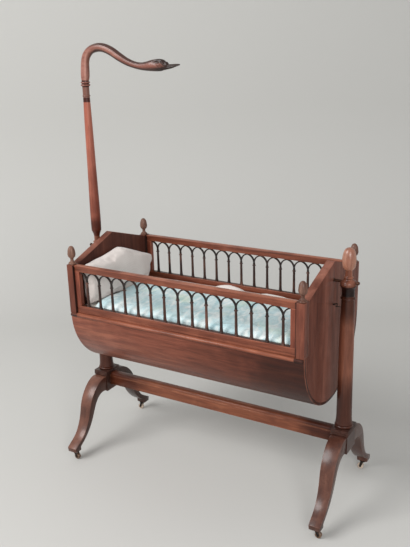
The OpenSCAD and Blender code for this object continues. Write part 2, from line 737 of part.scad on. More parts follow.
module bottom_rail(side) color(MAHOGANY) at_gallery(side) difference() {
    h = gallery_t / 2;
    low = post_foot_z;
    quirk = low + 8;
    along_x(2 * frame_half) polygon([
        [-h, low], [h, low], [h, quirk], [h - 1.5, quirk + 0.5], [h - 1.5, quirk + 2],
        [h, quirk + 2.5], [h, bottom_rail_z - 2], [h - 2, bottom_rail_z], [2 - h, bottom_rail_z],
        [-h, bottom_rail_z - 2], [-h, quirk + 2.5], [1.5 - h, quirk + 2], [1.5 - h, quirk + 0.5],
        [-h, quirk]]);
    peg_holes(post_foot_z + bottom_rail_h / 2);
}

module stiles(side) color(MAHOGANY) at_gallery(side) for (end = [-1, 1])
    translate([end * (frame_half - stile_w / 2), 0, 0])
        box_on(stile_w, gallery_t, bottom_rail_z, top_rail_z);

module baluster() {
    r = baluster_d / 2;
    big = baluster_cap_d / 2;
    h = spring_z - impost_h - bottom_rail_z;
    rotate_extrude($fn = 24) polygon(concat(
        [[0, 0], [big, 0], [big, 2]],
        curve([[big - 1, 3.5], [r + 0.9, 8], [r + 0.2, 16], [r, 0.3 * h], [r - 0.4, 0.75 * h],
               [r - 0.6, h - 10]], 2),
        arc(r + 0.2, h - 6.5, big - r - 0.4, -80, 80, 4),
        [[r - 0.4, h - 3], [r - 0.4, h], [0, h]]));
}

module balusters(side) color(EBONISED) at_gallery(side)
    for (i = [0:baluster_count - 1])
        translate([-opening_half + (i + 0.5) * bay, 0, bottom_rail_z]) baluster();

// Half of a pointed arch, springing from x = 0 and leaning towards dir
module half_arch(dir) intersection() {
    difference() {
        translate([dir * arch_r, 0]) circle(r = arch_r + arch_bar / 2, $fn = 96);
        translate([dir * arch_r, 0]) circle(r = arch_r - arch_bar / 2, $fn = 96);
    }
    translate([dir > 0 ? -arch_bar : -bay / 2 - 0.2, 0])
        square([bay / 2 + arch_bar + 0.2, top_rail_z - spring_z]);
}

module arches(side) color(EBONISED) at_gallery(side)
    along_y(arch_depth) intersection() {
        for (i = [0:baluster_count - 1]) translate([-opening_half + (i + 0.5) * bay, spring_z]) {
            half_arch(-1);
            half_arch(1);
            translate([-arch_bar / 2 - 1, -impost_h]) square([arch_bar + 2, impost_h + 1]);
        }
        translate([-opening_half, spring_z - bay]) square([2 * opening_half, 2 * bay]);
    }

module front_top_rail() top_rail(FRONT);
module back_top_rail() top_rail(BACK);
module front_bottom_rail() bottom_rail(FRONT);
module back_bottom_rail() bottom_rail(BACK);
module front_stiles() stiles(FRONT);
module back_stiles() stiles(BACK);
module front_balusters() balusters(FRONT);
module back_balusters() balusters(BACK);
module front_arches() arches(FRONT);
module back_arches() arches(BACK);

module gallery_pegs() color(DARK_MAHOGANY)
    for (end = [-1, 1], side = [-1, 1],
         z = [post_foot_z + bottom_rail_h / 2, post_top_z - top_rail_h / 2 - 2])
        translate([end * (frame_half + gallery_gap / 2), side * frame_mid, z])
            rotate([0, 90, 0]) cylinder(h = peg_len, d = peg_d, center = true);

// Hull ---------------------------------------------------------------------------

// The part of the hull's shell that lies between two places across the cradle
module hull_shell(from, to) color(DARK_MAHOGANY) along_x(cradle_length) intersection() {
    difference() {
        hull_outline(hull_r, post_foot_z);
        hull_outline(hull_in_r, post_foot_z + 1);
    }
    translate([from, hull_z - hull_r - 1]) square([to - from, 2 * hull_r]);
}

module front_hull() hull_shell(-hull_r - 1, -bottom_half);
module back_hull() hull_shell(bottom_half, hull_r + 1);
module bottom_board() hull_shell(-bottom_half, bottom_half);

module bead_mouldings() color(MAHOGANY) for (side = [FRONT, BACK])
    along_x(cradle_length - 2 * post_round) intersection() {
        translate([side * hull_r, bead_z]) circle(r = bead_r);
        translate([side > 0 ? hull_r : -hull_r - 2 * bead_r, bead_z - bead_r])
            square([2 * bead_r, 2 * bead_r]);
    }

// Latch --------------------------------------------------------------------------

module rod_y(d, from, to) translate([0, to, 0]) rotate([90, 0, 0]) cylinder(h = to - from, d = d);

// A screw eye in the foot column, with its ring level
module latch_catch() color(IRON) translate([0, -latch_offset, catch_z]) {
    translate([catch_x, 0, 0]) rotate_extrude()
        translate([catch_ring_r, 0]) circle(r = catch_wire_r, $fn = 24);
    rod_x(latch_t, catch_x + catch_ring_r, column_x - catch_depth - 2 * glue_gap);
}

// A screw eye in the foot panel, with its ring upright
module latch_eye() color(IRON) translate([0, latch_eye_y, latch_z]) difference() {
    union() {
        translate([latch_x, 0, 0]) rod_y(2 * latch_eye_r, -latch_t / 2, latch_t / 2);
        rod_x(latch_t, half_length - latch_screw_len, latch_x);
    }
    translate([latch_x, 0, 0]) rod_y(latch_t + 2 * running_gap, -latch_t, latch_t);
}

// A hook whose bent end turns in the eye, drawn with its prong in the catch and then lifted
module latch_hook() color(IRON)
    translate([latch_x, -latch_offset, latch_z]) rotate([0, -hook_lift, 0]) {
        along_y(latch_t) {
            circle(r = 2.2);
            polygon(concat(
                [[1.2, 1.6]], arc(0, 0, hook_arc + latch_t / 2, -14, -56, 8),
                arc(0, 0, hook_arc - latch_t / 2, -58, -26, 6), [[-0.6, -1.8]]));
        }
        rod_y(latch_t, -2 * latch_t - 2 * side_gap - 0.6, 0);
        rod_y(1.8 * latch_t, -2 * latch_t - 2 * side_gap - 0.6, -1.5 * latch_t - 2 * side_gap);
    }

// Bedding ------------------------------------------------------------------------

module mattress() color(WHITE_LINEN) along_x(2 * (panel_inner_x - soft_gap)) difference() {
    hull_outline(hull_in_r - soft_gap, mattress_z);
    translate([-hull_r, slat_z + slat_t + soft_gap - hull_r]) square([2 * hull_r, hull_r]);
    for (side = [-1, 1])
        translate([side > 0 ? post_inner_y - soft_gap : soft_gap - post_inner_y - hull_r, post_foot_z - 1])
            square([hull_r, hull_r]);
}

module slat_ledgers() color(DARK_MAHOGANY) along_x(2 * panel_inner_x) intersection() {
    hull_outline(hull_in_r - glue_gap, post_foot_z);
    for (side = [-1, 1])
        translate([side > 0 ? slat_half - ledger_d : -slat_half - ledger_d, slat_z - ledger_h])
            square([2 * ledger_d, ledger_h]);
}

module slats() color(DARK_MAHOGANY) for (i = [0:slat_count - 1])
    translate([(2 * i / (slat_count - 1) - 1) * (panel_inner_x - slat_w), 0, 0])
        box_on(slat_w, 2 * slat_half, slat_z, slat_z + slat_t);

// A closed cloth over a grid: top and under are lists of rows of points with a shared edge
module quilted(top, under) {
    n = len(top);
    m = len(top[0]);
    polyhedron(
        points = concat([for (row = top) for (p = row) p], [for (row = under) for (p = row) p]),
        faces = concat(
            [for (i = [0:n - 2]) for (j = [0:m - 2]) each let (a = i * m + j)
                [[a, a + 1, a + m + 1], [a, a + m + 1, a + m]]],
            [for (i = [0:n - 2]) for (j = [0:m - 2]) each let (a = n * m + i * m + j)
                [[a + m + 1, a + 1, a], [a + m, a + m + 1, a]]],
            [for (i = [0:n - 2]) each let (a = i * m, b = n * m + i * m)
                [[a, a + m, b + m], [a, b + m, b]]],
            [for (i = [0:n - 2]) each let (a = i * m + m - 1, b = n * m + i * m + m - 1)
                [[b, b + m, a + m], [b, a + m, a]]],
            [for (j = [0:m - 2]) each let (a = j, b = n * m + j)
                [[b, b + 1, a + 1], [b, a + 1, a]]],
            [for (j = [0:m - 2]) each let (a = (n - 1) * m + j, b = n * m + (n - 1) * m + j)
                [[a, a + 1, b + 1], [a, b + 1, b]]]));
}

// How far in from its edge a cloth has reached its full height, for u from -1 to 1
function edge_roll(u) = pow(max(0, 1 - pow(abs(u), 6)), 0.5);

function quilt_height(x, y) = quilt_t + quilt_fold * (
    0.45 * sin(360 * (x / 150 + y / 330)) + 0.3 * sin(360 * (x / 83 - y / 190) + 50)
    + 0.25 * sin(360 * (y / 120 + x / 400) + 20));

module cloth(x0, y0, len_x, len_y, n, m, base, height) {
    top = [for (i = [0:n]) [for (j = [0:m])
        let (u = 2 * i / n - 1, v = 2 * j / m - 1, x = x0 + len_x * i / n, y = y0 + len_y * j / m)
        [x, y, base + 3 + max(1, height(x, y) * edge_roll(u) * edge_roll(v))]]];
    under = [for (row = top) [for (p = row) [p[0], p[1], base]]];
    quilted(top, under);
}

module quilt() color(PALE_SATIN)
    cloth(quilt_x0, quilt_y0, quilt_l, quilt_w, 34, 14, mattress_z + soft_gap,
          function(x, y) quilt_height(x, y));

sheet_y0 = quilt_y0 + quilt_w + soft_gap;
sheet_w = frame_inner - 3 - sheet_y0;

function sheet_height(x, y) = sheet_h * (
    0.55 + 0.3 * sin(360 * (x + 20) / 190) + 0.15 * sin(360 * (x / 71 + y / 90) + 70));

module sheet() color(WHITE_LINEN)
    cloth(quilt_x0, sheet_y0, quilt_l, sheet_w, 34, 6, mattress_z + soft_gap,
          function(x, y) sheet_height(x, y));

// Point on the pillow: u across the cradle, v up from its foot, face 1 for its front and -1 for
// its back. It stands highest in front of the middle, and its corners sag from there.
pillow_peak = -0.07;
function on_pillow(u, v, face) = let (
    sag = pow(abs(u - pillow_peak), 1.15) * (u < pillow_peak ? pillow_sag_front : pillow_sag_back),
    puff = face * (3 + (pillow_t / 2 - 3) * sqrt((1 - pow(u, 4)) * (1 - pow(v, 4)))))
    [puff, pillow_l / 2 * u * (1 - 0.05 * (1 - v * v) - 0.03 * (1 - v)),
     (1 + v) / 2 * (pillow_h - sag)];

// How far the back of the leaning pillow reaches behind its foot
pillow_reach = max([for (k = [-12:12]) let (p = on_pillow(pillow_peak, k / 12, -1))
    p[2] * sin(pillow_lean) - p[0] * cos(pillow_lean)]);
pillow_foot_x = -panel_inner_x + soft_gap + pillow_reach;
pillow_foot_z = mattress_z + soft_gap + pillow_t / 2 * sin(pillow_lean);

module pillow() color(WHITE_LINEN)
    translate([pillow_foot_x, 0, pillow_foot_z]) rotate([0, -pillow_lean, 0]) {
        n = 20;
        m = 12;
        quilted(
            [for (i = [0:n]) [for (j = [0:m]) on_pillow(2 * i / n - 1, 2 * j / m - 1, 1)]],
            [for (i = [0:n]) [for (j = [0:m]) on_pillow(2 * i / n - 1, 2 * j / m - 1, -1)]]);
    }

head_column();
foot_column();
foot_knob();
swan_pole();
pole_collar();
swan_neck();
head_hub();
foot_hub();
stretcher();
head_front_leg();
head_back_leg();
foot_front_leg();
foot_back_leg();
caster_plates();
head_front_fork();
head_front_axle();
head_front_wheel();
head_back_fork();
head_back_axle();
head_back_wheel();
foot_front_fork();
foot_front_axle();
foot_front_wheel();
foot_back_fork();
foot_back_axle();
foot_back_wheel();
head_pivot_pin();
foot_pivot_pin();
pivot_bushes();
head_panel();
foot_panel();
head_front_post();
head_back_post();
foot_front_post();
foot_back_post();
finials();
front_top_rail();
front_bottom_rail();
front_stiles();
front_balusters();
front_arches();
back_top_rail();
back_bottom_rail();
back_stiles();
back_balusters();
back_arches();
gallery_pegs();
bead_mouldings();
front_hull();
back_hull();
bottom_board();
slat_ledgers();
slats();
latch_catch();
latch_eye();
latch_hook();
mattress();
quilt();
sheet();
pillow();
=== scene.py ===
"""Looks of a swinging cradle on a turned stand: waxed mahogany, iron, porcelain and bedding."""

import json
import math

import bpy
from mathutils import Matrix, Vector, kdtree, noise


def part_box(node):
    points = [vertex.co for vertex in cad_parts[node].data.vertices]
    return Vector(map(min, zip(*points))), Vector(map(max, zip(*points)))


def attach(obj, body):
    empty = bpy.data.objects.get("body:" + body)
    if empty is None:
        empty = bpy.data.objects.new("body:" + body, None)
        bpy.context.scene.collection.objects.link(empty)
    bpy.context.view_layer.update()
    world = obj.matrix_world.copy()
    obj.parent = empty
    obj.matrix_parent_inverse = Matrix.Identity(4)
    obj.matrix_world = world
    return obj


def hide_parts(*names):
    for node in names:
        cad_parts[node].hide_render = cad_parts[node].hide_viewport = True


bl_info = {
    "name": "Swinging Cradle Dresser",
    "version": (1, 0, 0),
    "blender": (4, 5, 0),
    "location": "View3D > Sidebar > Cradle",
    "description": "Finishes the timber, iron and bedding of a swinging cradle on its stand",
    "category": "Object",
}

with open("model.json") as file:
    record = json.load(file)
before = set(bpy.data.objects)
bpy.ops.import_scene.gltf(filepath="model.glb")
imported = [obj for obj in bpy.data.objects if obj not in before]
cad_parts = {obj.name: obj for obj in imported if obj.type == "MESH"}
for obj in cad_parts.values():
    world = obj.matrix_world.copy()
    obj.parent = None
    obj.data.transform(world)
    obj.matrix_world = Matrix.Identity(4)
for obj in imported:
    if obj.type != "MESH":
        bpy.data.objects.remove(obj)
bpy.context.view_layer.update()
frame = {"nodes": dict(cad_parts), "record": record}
PARTS = frame["nodes"]
MM = 0.001

# X of the head column's axis, on which the swan's neck stands
HEAD_X = -0.55

# The carved swan's neck in millimetres: X and Z of its middle line from the middle of its
# foot, half its height across that line and half its width
NECK_ROWS = (
    (0, 0, 15.5, 15.5), (2, 18, 17.4, 17.4), (4, 44, 17, 17), (7, 70, 16, 16),
    (16, 93, 16.2, 16.4), (38, 112.5, 15.8, 16.6), (72, 121.5, 16.4, 17),
    (105, 118.5, 16.6, 17), (138, 105.5, 16.8, 16.5), (170, 87, 15.8, 15.5),
    (205, 69, 14, 13.8), (240, 57, 12.7, 12.7), (270, 52, 13.8, 13.2), (295, 52, 16.8, 14.4),
    (318, 54, 20.2, 16), (345, 55.5, 22.2, 16.6), (365, 55.5, 20.6, 15.4),
    (380, 52.5, 14.5, 12), (392, 50.5, 9.3, 9.6), (408, 52, 7.2, 8), (424, 55, 5, 6.2),
    (440, 57, 2.4, 3.4),
)
NECK_BASE_Z = 1.556

# Forms carved on the swan's head, each with its height, which is below zero where it is cut
# in, its middle and length along the neck, all in millimetres, and its middle and breadth
# round the neck from the top, in radians
HEAD_FORMS = (
    (2.4, 345, 24, 0.72, 0.2),      # brow
    (-2.2, 352, 20, 1.14, 0.15),    # groove under the brow
    (2.2, 359, 4.2, 1.42, 0.14),    # eye
    (-1.2, 359, 9, 1.72, 0.12),     # lower lid
    (1.4, 340, 20, 2.0, 0.32),      # cheek
    (2.6, 384, 5, 0.0, 0.8),        # knob at the root of the bill
    (-1.5, 376, 3.5, 0.5, 0.9),     # step down from the forehead
)
NOSTRIL = (-1.6, 395, 3.5, 0.95, 0.2)

# Rolls of turned-back linen: middle along the bed, half length and height, in metres
SHEET_ROLLS = ((-0.015, 0.074, 0.025), (0.18, 0.078, 0.015))

# Flat-sided timber by its finish, whose edges are worn round
PLANED = {
    "rails": ("front_top_rail", "back_top_rail", "front_bottom_rail", "back_bottom_rail",
              "bead_mouldings"),
    "stretcher": ("stretcher",),
    "hull": ("front_hull", "back_hull", "bottom_board", "slats", "slat_ledgers"),
    "posts": ("head_front_post", "head_back_post", "foot_front_post", "foot_back_post"),
    "stiles": ("front_stiles", "back_stiles"),
    "panels": ("head_panel", "foot_panel"),
    "legs": ("head_front_leg", "head_back_leg", "foot_front_leg", "foot_back_leg"),
    "hubs": ("head_hub", "foot_hub"),
}
# Turned timber and pegs by their finish, which keep the CAD model's form
TURNED = {
    "columns": ("head_column", "foot_column"),
    "collar": ("pole_collar",),
    "knob": ("foot_knob",),
    "pole": ("swan_pole",),
    "balusters": ("front_balusters", "back_balusters"),
    "arches": ("front_arches", "back_arches"),
    "finials": ("finials",),
    "hubs": ("gallery_pegs",),
}


# Colours and nodes ---------------------------------------------------------------


def linear(code):
    """An sRGB hex colour as the linear values that shaders use."""
    parts = [int(code[i:i + 2], 16) / 255 for i in (1, 3, 5)]
    return [c / 12.92 if c <= 0.04045 else ((c + 0.055) / 1.055) ** 2.4 for c in parts] + [1.0]


def fill(tree, node, values):
    """Gives each input of node its value, or links it to the socket that feeds it."""
    for name, value in values.items():
        if isinstance(value, bpy.types.NodeSocket):
            tree.links.new(value, node.inputs[name])
        else:
            node.inputs[name].default_value = value


def add(tree, kind, values, **settings):
    """A new node with its properties set and its inputs filled."""
    made = tree.nodes.new(kind)
    for name, value in settings.items():
        setattr(made, name, value)
    fill(tree, made, values)
    return made


def ramp(tree, source, stops):
    """A colour ramp over source, with (position, colour) stops, the two outer ones first."""
    made = add(tree, "ShaderNodeValToRGB", {"Fac": source})
    band = made.color_ramp
    for i, (position, colour) in enumerate(stops):
        stop = band.elements[i] if i < 2 else band.elements.new(position)
        stop.position = position
        stop.color = linear(colour) if isinstance(colour, str) else colour
    return made.outputs["Color"]


def grey_ramp(tree, source, low, high):
    """0 on low's side and 1 on high's side, smooth between."""
    return add(tree, "ShaderNodeMapRange", {"Value": source, "From Min": low, "From Max": high},
               interpolation_type="SMOOTHSTEP").outputs["Result"]


def calc(tree, operation, a, b):
    """Two values put together by a math node."""
    return add(tree, "ShaderNodeMath", {0: a, 1: b}, operation=operation).outputs[0]


def mul(tree, value, by):
    """value times by."""
    return calc(tree, "MULTIPLY", value, by)


def mix(tree, kind, factor, a, b):
    """Mixes two colours."""
    return add(tree, "ShaderNodeMix", {0: factor, 6: a, 7: b},
               data_type="RGBA", blend_type=kind).outputs[2]


def coordinates(tree):
    """Object coordinates, in metres."""
    return add(tree, "ShaderNodeTexCoord", {}).outputs["Object"]


def stretched(tree, scale):
    """Object coordinates, scaled per axis in cells per metre."""
    return add(tree, "ShaderNodeMapping",
               {"Vector": coordinates(tree), "Scale": scale}).outputs["Vector"]


def speckle(tree, cells, detail, **more):
    """Noise with its cells per metre on each axis; with a W it is drawn from that seed."""
    return add(tree, "ShaderNodeTexNoise", {
        "Vector": stretched(tree, cells), "Scale": 1.0, "Detail": detail, **more},
        noise_dimensions="4D" if "W" in more else "3D").outputs["Fac"]


def attribute(tree, name):
    """The value that a piece has under that name, or 0."""
    return add(tree, "ShaderNodeAttribute", {}, attribute_name=name).outputs["Fac"]


def bump(tree, height, strength, depth):
    """Normals of a surface with that height, depth metres deep."""
    return add(tree, "ShaderNodeBump", {
        "Height": height, "Strength": strength, "Distance": depth}).outputs["Normal"]


def blank(name):
    """A new material: the material, its node tree and its shader."""
    made = bpy.data.materials.new(name)
    made.use_nodes = True
    tree = made.node_tree
    return made, tree, tree.nodes["Principled BSDF"]


# Materials -----------------------------------------------------------------------


def waxed_mahogany(name, along, shades, seed, gloss=0.38, figure=1.0, bands=(), polish=0.1,
                   handled=0.16):
    """Old mahogany under wax, its grain along one axis: dark streaks, patches of old polish, and
    two attributes, one that paints worn edges pale and light on, one that paints shade on and
    darkens dusty and dark places. shades run from dark to light, gloss is its roughness, figure
    the strength of the grain, polish the clear top coat and handled how pale the patches are.
    Each band is (axis, from, to, softness, tone): a stretch of the wood darkened by that tone."""
    made, tree, shader = blank(name)
    dark, middle, light = shades
    # How many cells lie along the grain for one across it
    drawn_out = 0.045

    def figure_of(cells, detail, seed_step, drawn=1.0, **more):
        scale = [cells * (drawn_out * drawn if axis == along else 1.0) for axis in "XYZ"]
        return speckle(tree, scale, detail, W=seed + seed_step, **more)

    # Broad streaks of heartwood about 35 mm wide, stripes of 9 mm, grain lines of 3 mm and
    # pores at 1.2 mm, which are coarser than life so that they show
    streak = figure_of(30, 3.0, 5, 2.4, Distortion=0.9)
    stripe = figure_of(110, 3.0, 29, 1.4, Roughness=0.6, Distortion=0.5)
    grain = figure_of(330, 4.0, 0, Roughness=0.6, Distortion=0.4)
    pores = figure_of(850, 1.0, 17)
    # Handling and old polish in patches of about 10 cm
    patch = speckle(tree, [10, 10, 10], 4.0, W=seed + 11, Roughness=0.6)
    colour = ramp(tree, streak, ((0.22, dark), (0.78, light), (0.5, middle)))
    lines = ramp(tree, stripe, ((0.32, "#8f7063"), (0.64, "#fff8f3")))
    colour = mix(tree, "MULTIPLY", 0.5 * figure, colour, lines)
    fine = ramp(tree, grain, ((0.32, "#8f7a70"), (0.68, "#ffffff")))
    colour = mix(tree, "MULTIPLY", 0.42 * figure, colour, fine)
    polished = mul(tree, grey_ramp(tree, patch, 0.5, 0.72), handled)
    colour = mix(tree, "SCREEN", polished, colour, linear(light))
    pits = grey_ramp(tree, pores, 0.36, 0.3)
    colour = mix(tree, "MULTIPLY", mul(tree, pits, 0.35), colour, linear("#4a3a36"))
    for axis, low, high, soft, tone in bands:
        run = add(tree, "ShaderNodeSeparateXYZ", {0: coordinates(tree)}).outputs[axis]
        run = calc(tree, "ADD", run, mul(tree, calc(tree, "SUBTRACT", patch, 0.5), soft))
        inside = mul(tree, grey_ramp(tree, run, low - soft, low),
                     grey_ramp(tree, run, high + soft, high))
        colour = mix(tree, "MULTIPLY", inside, colour, linear(tone))
    # Pale on worn edges and where light is painted on; dark where shade is painted on, where dust
    # lies and where the wood is dark
    worn_and_lit = mul(tree, attribute(tree, "worn_and_lit"), grey_ramp(tree, patch, 0.3, 0.6))
    colour = mix(tree, "SCREEN", mul(tree, worn_and_lit, 0.55), colour, linear(light))
    colour = mix(tree, "MIX", attribute(tree, "dark_and_shaded"), colour, linear("#211815"))
    rough = add(tree, "ShaderNodeMapRange", {
        "Value": patch, "From Min": 0.3, "From Max": 0.7,
        "To Min": gloss + 0.07, "To Max": gloss - 0.04})
    fill(tree, shader, {
        "Base Color": colour, "Roughness": rough.outputs["Result"],
        "Normal": bump(tree, calc(tree, "SUBTRACT", grain, pits), 0.35, 0.4 * MM),
        "Specular IOR Level": 0.16 + polish, "Coat Weight": polish, "Coat Roughness": 0.2})
    return made


def forged_iron(name, shades):
    """Hand-forged iron, blackened and a little rusty, with hammer marks a few millimetres across."""
    made, tree, shader = blank(name)
    dark, middle, light = shades
    spots = speckle(tree, [420] * 3, 4.0)
    fill(tree, shader, {
        "Base Color": ramp(tree, spots, ((0.35, dark), (0.72, light), (0.55, middle))),
        "Normal": bump(tree, spots, 0.5, 0.4 * MM), "Metallic": 0.75, "Roughness": 0.52})
    return made


def glazed_porcelain():
    """Fired porcelain under a clear glaze, warm white with faint scuffs from the floor."""
    made, tree, shader = blank("glazed_porcelain")
    scuff = speckle(tree, [260] * 3, 5.0)
    colour = ramp(tree, scuff, ((0.3, "#8f7a6b"), (0.6, "#cdbba8"), (0.45, "#b5a08e")))
    # The front pair is darker brown
    depth = add(tree, "ShaderNodeSeparateXYZ", {0: coordinates(tree)}).outputs["Y"]
    front = grey_ramp(tree, depth, 0.05, -0.05)
    fill(tree, shader, {
        "Base Color": mix(tree, "MULTIPLY", front, colour, linear("#8a7464")),
        "Roughness": 0.22, "Coat Weight": 0.4, "Coat Roughness": 0.08})
    return made


def woven_linen(name, pale, dull, thread):
    """Plain woven linen, thread millimetres between its threads, softened by washing."""
    made, tree, shader = blank(name)
    # A wave texture has about 3.2 bands to the unit
    cells = 1 / (thread * MM) / 3.2
    warp, weft = (add(tree, "ShaderNodeTexWave", {
        "Vector": stretched(tree, [cells] * 3), "Scale": 1.0, "Distortion": 0.6, "Detail": 1.0},
        bands_direction=axis).outputs["Fac"] for axis in "XY")
    weave = calc(tree, "MAXIMUM", warp, weft)
    colour = ramp(tree, speckle(tree, [14] * 3, 4.0), ((0.3, dull), (0.65, pale)))
    fill(tree, shader, {
        "Base Color": mix(tree, "MULTIPLY", mul(tree, weave, 0.12), colour, linear("#b8b2aa")),
        "Normal": bump(tree, weave, 0.25, 0.3 * MM), "Roughness": 0.85,
        "Sheen Weight": 0.25, "Sheen Roughness": 0.5})
    return made


def watered_satin(deep, pale):
    """Light silk satin, aqua with paler watered patches, and a soft lustre across its folds."""
    made, tree, shader = blank("watered_satin")
    # Patches of about 5 cm, drawn out across the bed as the folds are
    cloud = speckle(tree, [24, 11, 20], 5.0, Roughness=0.62, Distortion=1.2)
    colour = ramp(tree, cloud, ((0.3, deep), (0.64, pale), (0.46, "#c0d8db")))
    # Broader patches are a little greener
    green = mul(tree, grey_ramp(tree, speckle(tree, [7, 9, 9], 3.0, W=4.0), 0.5, 0.66), 0.7)
    colour = mix(tree, "MULTIPLY", green, colour, linear("#e3f0dc"))
    fine = speckle(tree, [120, 420, 420], 3.0)
    threads = ramp(tree, fine, ((0.35, "#9fb4b8"), (0.6, "#ffffff")))
    fill(tree, shader, {
        "Base Color": mix(tree, "MULTIPLY", 0.18, colour, threads),
        "Normal": bump(tree, fine, 0.2, 0.4 * MM), "Roughness": 0.5,
        "Sheen Weight": 0.25, "Sheen Roughness": 0.35})
    return made


def studio_paper(colour):
    """Matt pale paper that keeps the shadow."""
    made, tree, shader = blank("studio_paper")
    fill(tree, shader, {
        "Base Color": (*colour, 1), "Roughness": 0.95, "Specular IOR Level": 0.1})
    return made


# Tools for shaping ---------------------------------------------------------------


def clear():
    """Leaves edit mode and deselects everything."""
    if bpy.context.object and bpy.context.object.mode != "OBJECT":
        bpy.ops.object.mode_set(mode="OBJECT")
    bpy.ops.object.select_all(action="DESELECT")


def take(piece):
    """Makes piece the only selected object."""
    clear()
    piece.select_set(True)
    bpy.context.view_layer.objects.active = piece
    return piece


def modify(piece, kind, **settings):
    """Adds a modifier and applies it."""
    take(piece)
    made = piece.modifiers.new(kind.lower(), kind)
    for name, value in settings.items():
        setattr(made, name, value)
    bpy.ops.object.modifier_apply(modifier=made.name)
    return piece


def tidy_faces(piece, gap=0.00001):
    """Merges doubled points and turns every face outwards."""
    take(piece)
    bpy.ops.object.mode_set(mode="EDIT")
    bpy.ops.mesh.select_all(action="SELECT")
    bpy.ops.mesh.remove_doubles(threshold=gap)
    bpy.ops.mesh.normals_make_consistent(inside=False)
    bpy.ops.object.mode_set(mode="OBJECT")
    return piece


def smooth(piece, degrees):
    """Shades piece smooth over edges that turn by less than degrees."""
    take(piece)
    bpy.ops.object.shade_smooth_by_angle(angle=math.radians(degrees))
    return piece


def dress(piece, finish):
    """Gives piece one material."""
    piece.data.materials.clear()
    piece.data.materials.append(finish)
    return piece


def place(piece, body, slot, *stands_for):
    """Ties a finished piece to its body and hides the nodes it stands for. slot is not used."""
    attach(piece, body)
    if stands_for:
        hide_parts(*stands_for)
    return piece


def merged_copy(node, name):
    """A copy of a node's mesh, its points merged and its flat faces joined."""
    piece = bpy.data.objects.new(name, PARTS[node].data.copy())
    bpy.context.scene.collection.objects.link(piece)
    take(piece)
    bpy.ops.object.mode_set(mode="EDIT")
    bpy.ops.mesh.select_all(action="SELECT")
    bpy.ops.mesh.remove_doubles(threshold=0.000005)
    bpy.ops.mesh.dissolve_limited(angle_limit=math.radians(0.6))
    bpy.ops.object.mode_set(mode="OBJECT")
    kept_normals = piece.data.attributes.get("custom_normal")
    if kept_normals:
        piece.data.attributes.remove(kept_normals)
    return piece


def mark(piece, name, rule):
    """Writes rule(face), a value from 0 to 1, on each face's corners under that name."""
    layer = piece.data.attributes.new(name, "FLOAT", "CORNER")
    for face in piece.data.polygons:
        value = float(rule(face))
        for corner in face.loop_indices:
            layer.data[corner].value = value
    return piece


def wear(piece, width, material, worn_and_lit, dark_and_shaded):
    """Rounds the sharp edges of planed timber, marks the rounded edges as worn pale, and marks where
    light and shade are painted on, and where dust lies, by two rules that take a face. A second,
    equal material tells the rounded faces from the flat ones until they are marked."""
    dress(piece, material)
    piece.data.materials.append(material)
    modify(piece, "BEVEL", width=width, segments=2, limit_method="ANGLE",
           angle_limit=math.radians(32), use_clamp_overlap=True, material=1)
    mark(piece, "worn_and_lit", lambda face: max(face.material_index, worn_and_lit(face)))
    mark(piece, "dark_and_shaded", dark_and_shaded)
    for face in piece.data.polygons:
        face.material_index = 0
    piece.data.materials.pop(index=1)
    return smooth(piece, 30)


def grid_skin(name, rings, closed):
    """A grid primitive whose rows are laid along rings of points; closed joins each row's ends."""
    rows, columns = len(rings), len(rings[0])
    clear()
    bpy.ops.mesh.primitive_grid_add(x_subdivisions=columns - 1 + closed, y_subdivisions=rows - 1,
                                    size=1)
    piece = bpy.context.object
    piece.name = name
    piece.data.name = name
    across = columns + closed
    for i, ring in enumerate(rings):
        for k in range(across):
            piece.data.vertices[i * across + k].co = ring[k % columns]
    if closed:
        take(piece)
        bpy.ops.object.mode_set(mode="EDIT")
        bpy.ops.mesh.select_all(action="SELECT")
        bpy.ops.mesh.remove_doubles(threshold=0.000001)
        bpy.ops.mesh.select_all(action="DESELECT")
        bpy.ops.mesh.select_non_manifold()
        bpy.ops.mesh.edge_face_add()
        bpy.ops.object.mode_set(mode="OBJECT")
    return piece


def between(rows, steps):
    """Points on a smooth curve through rows, steps from each to the next."""
    out = []
    last = len(rows) - 1
    for i in range(last):
        a, b, c, d = (rows[max(0, min(last, i + k))] for k in (-1, 0, 1, 2))
        for k in range(steps):
            t = k / steps
            out.append([0.5 * (2 * q + (r - p) * t + (2 * p - 5 * q + 4 * r - s) * t * t
                               + (3 * q - p - 3 * r + s) * t ** 3)
                        for p, q, r, s in zip(a, b, c, d)])
    return out + [list(rows[-1])]


def swell(piece, voxel, pressure, cap, grow, bending=0.5):
    """Fills a closed form as stuffing does: cloth under pressure, held to within cap of its start."""
    modify(piece, "REMESH", mode="VOXEL", voxel_size=voxel, adaptivity=0.0)
    start = [v.co.copy() for v in piece.data.vertices]
    take(piece)
    made = piece.modifiers.new("stuffing", "CLOTH")
    cloth = made.settings
    cloth.quality = 4
    cloth.use_pressure = True
    cloth.uniform_pressure_force = pressure
    cloth.effector_weights.gravity = 0.0
    cloth.shrink_min = -grow
    cloth.bending_stiffness = bending
    last_frame = 20
    made.point_cache.frame_start = 1
    made.point_cache.frame_end = last_frame
    for step in range(1, last_frame + 1):
        bpy.context.scene.frame_set(step)
    bpy.ops.object.modifier_apply(modifier=made.name)
    bpy.context.scene.frame_set(1)
    for v, was in zip(piece.data.vertices, start):
        move = v.co - was
        if move.length > cap:
            v.co = was + move * (cap / move.length)
    modify(piece, "SUBSURF", levels=1, render_levels=1)
    return smooth(piece, 180)


def over(value, start, end):
    """0 at start and before it, 1 at end and past it, in a straight line between."""
    return max(0.0, min(1.0, (value - start) / (end - start)))


def wave(x, y, scale, seed):
    """Smooth noise from -1 to 1, with its cells scale metres across."""
    return noise.noise(Vector((x / scale, y / scale, seed)))


def sink(y):
    """How far the mattress has sunk beside its middle, in metres: most along the far side."""
    deepest = 0.0145 if y > 0 else 0.003
    half_width = 0.232
    return deepest * min(1.0, abs(y) / half_width) ** 6


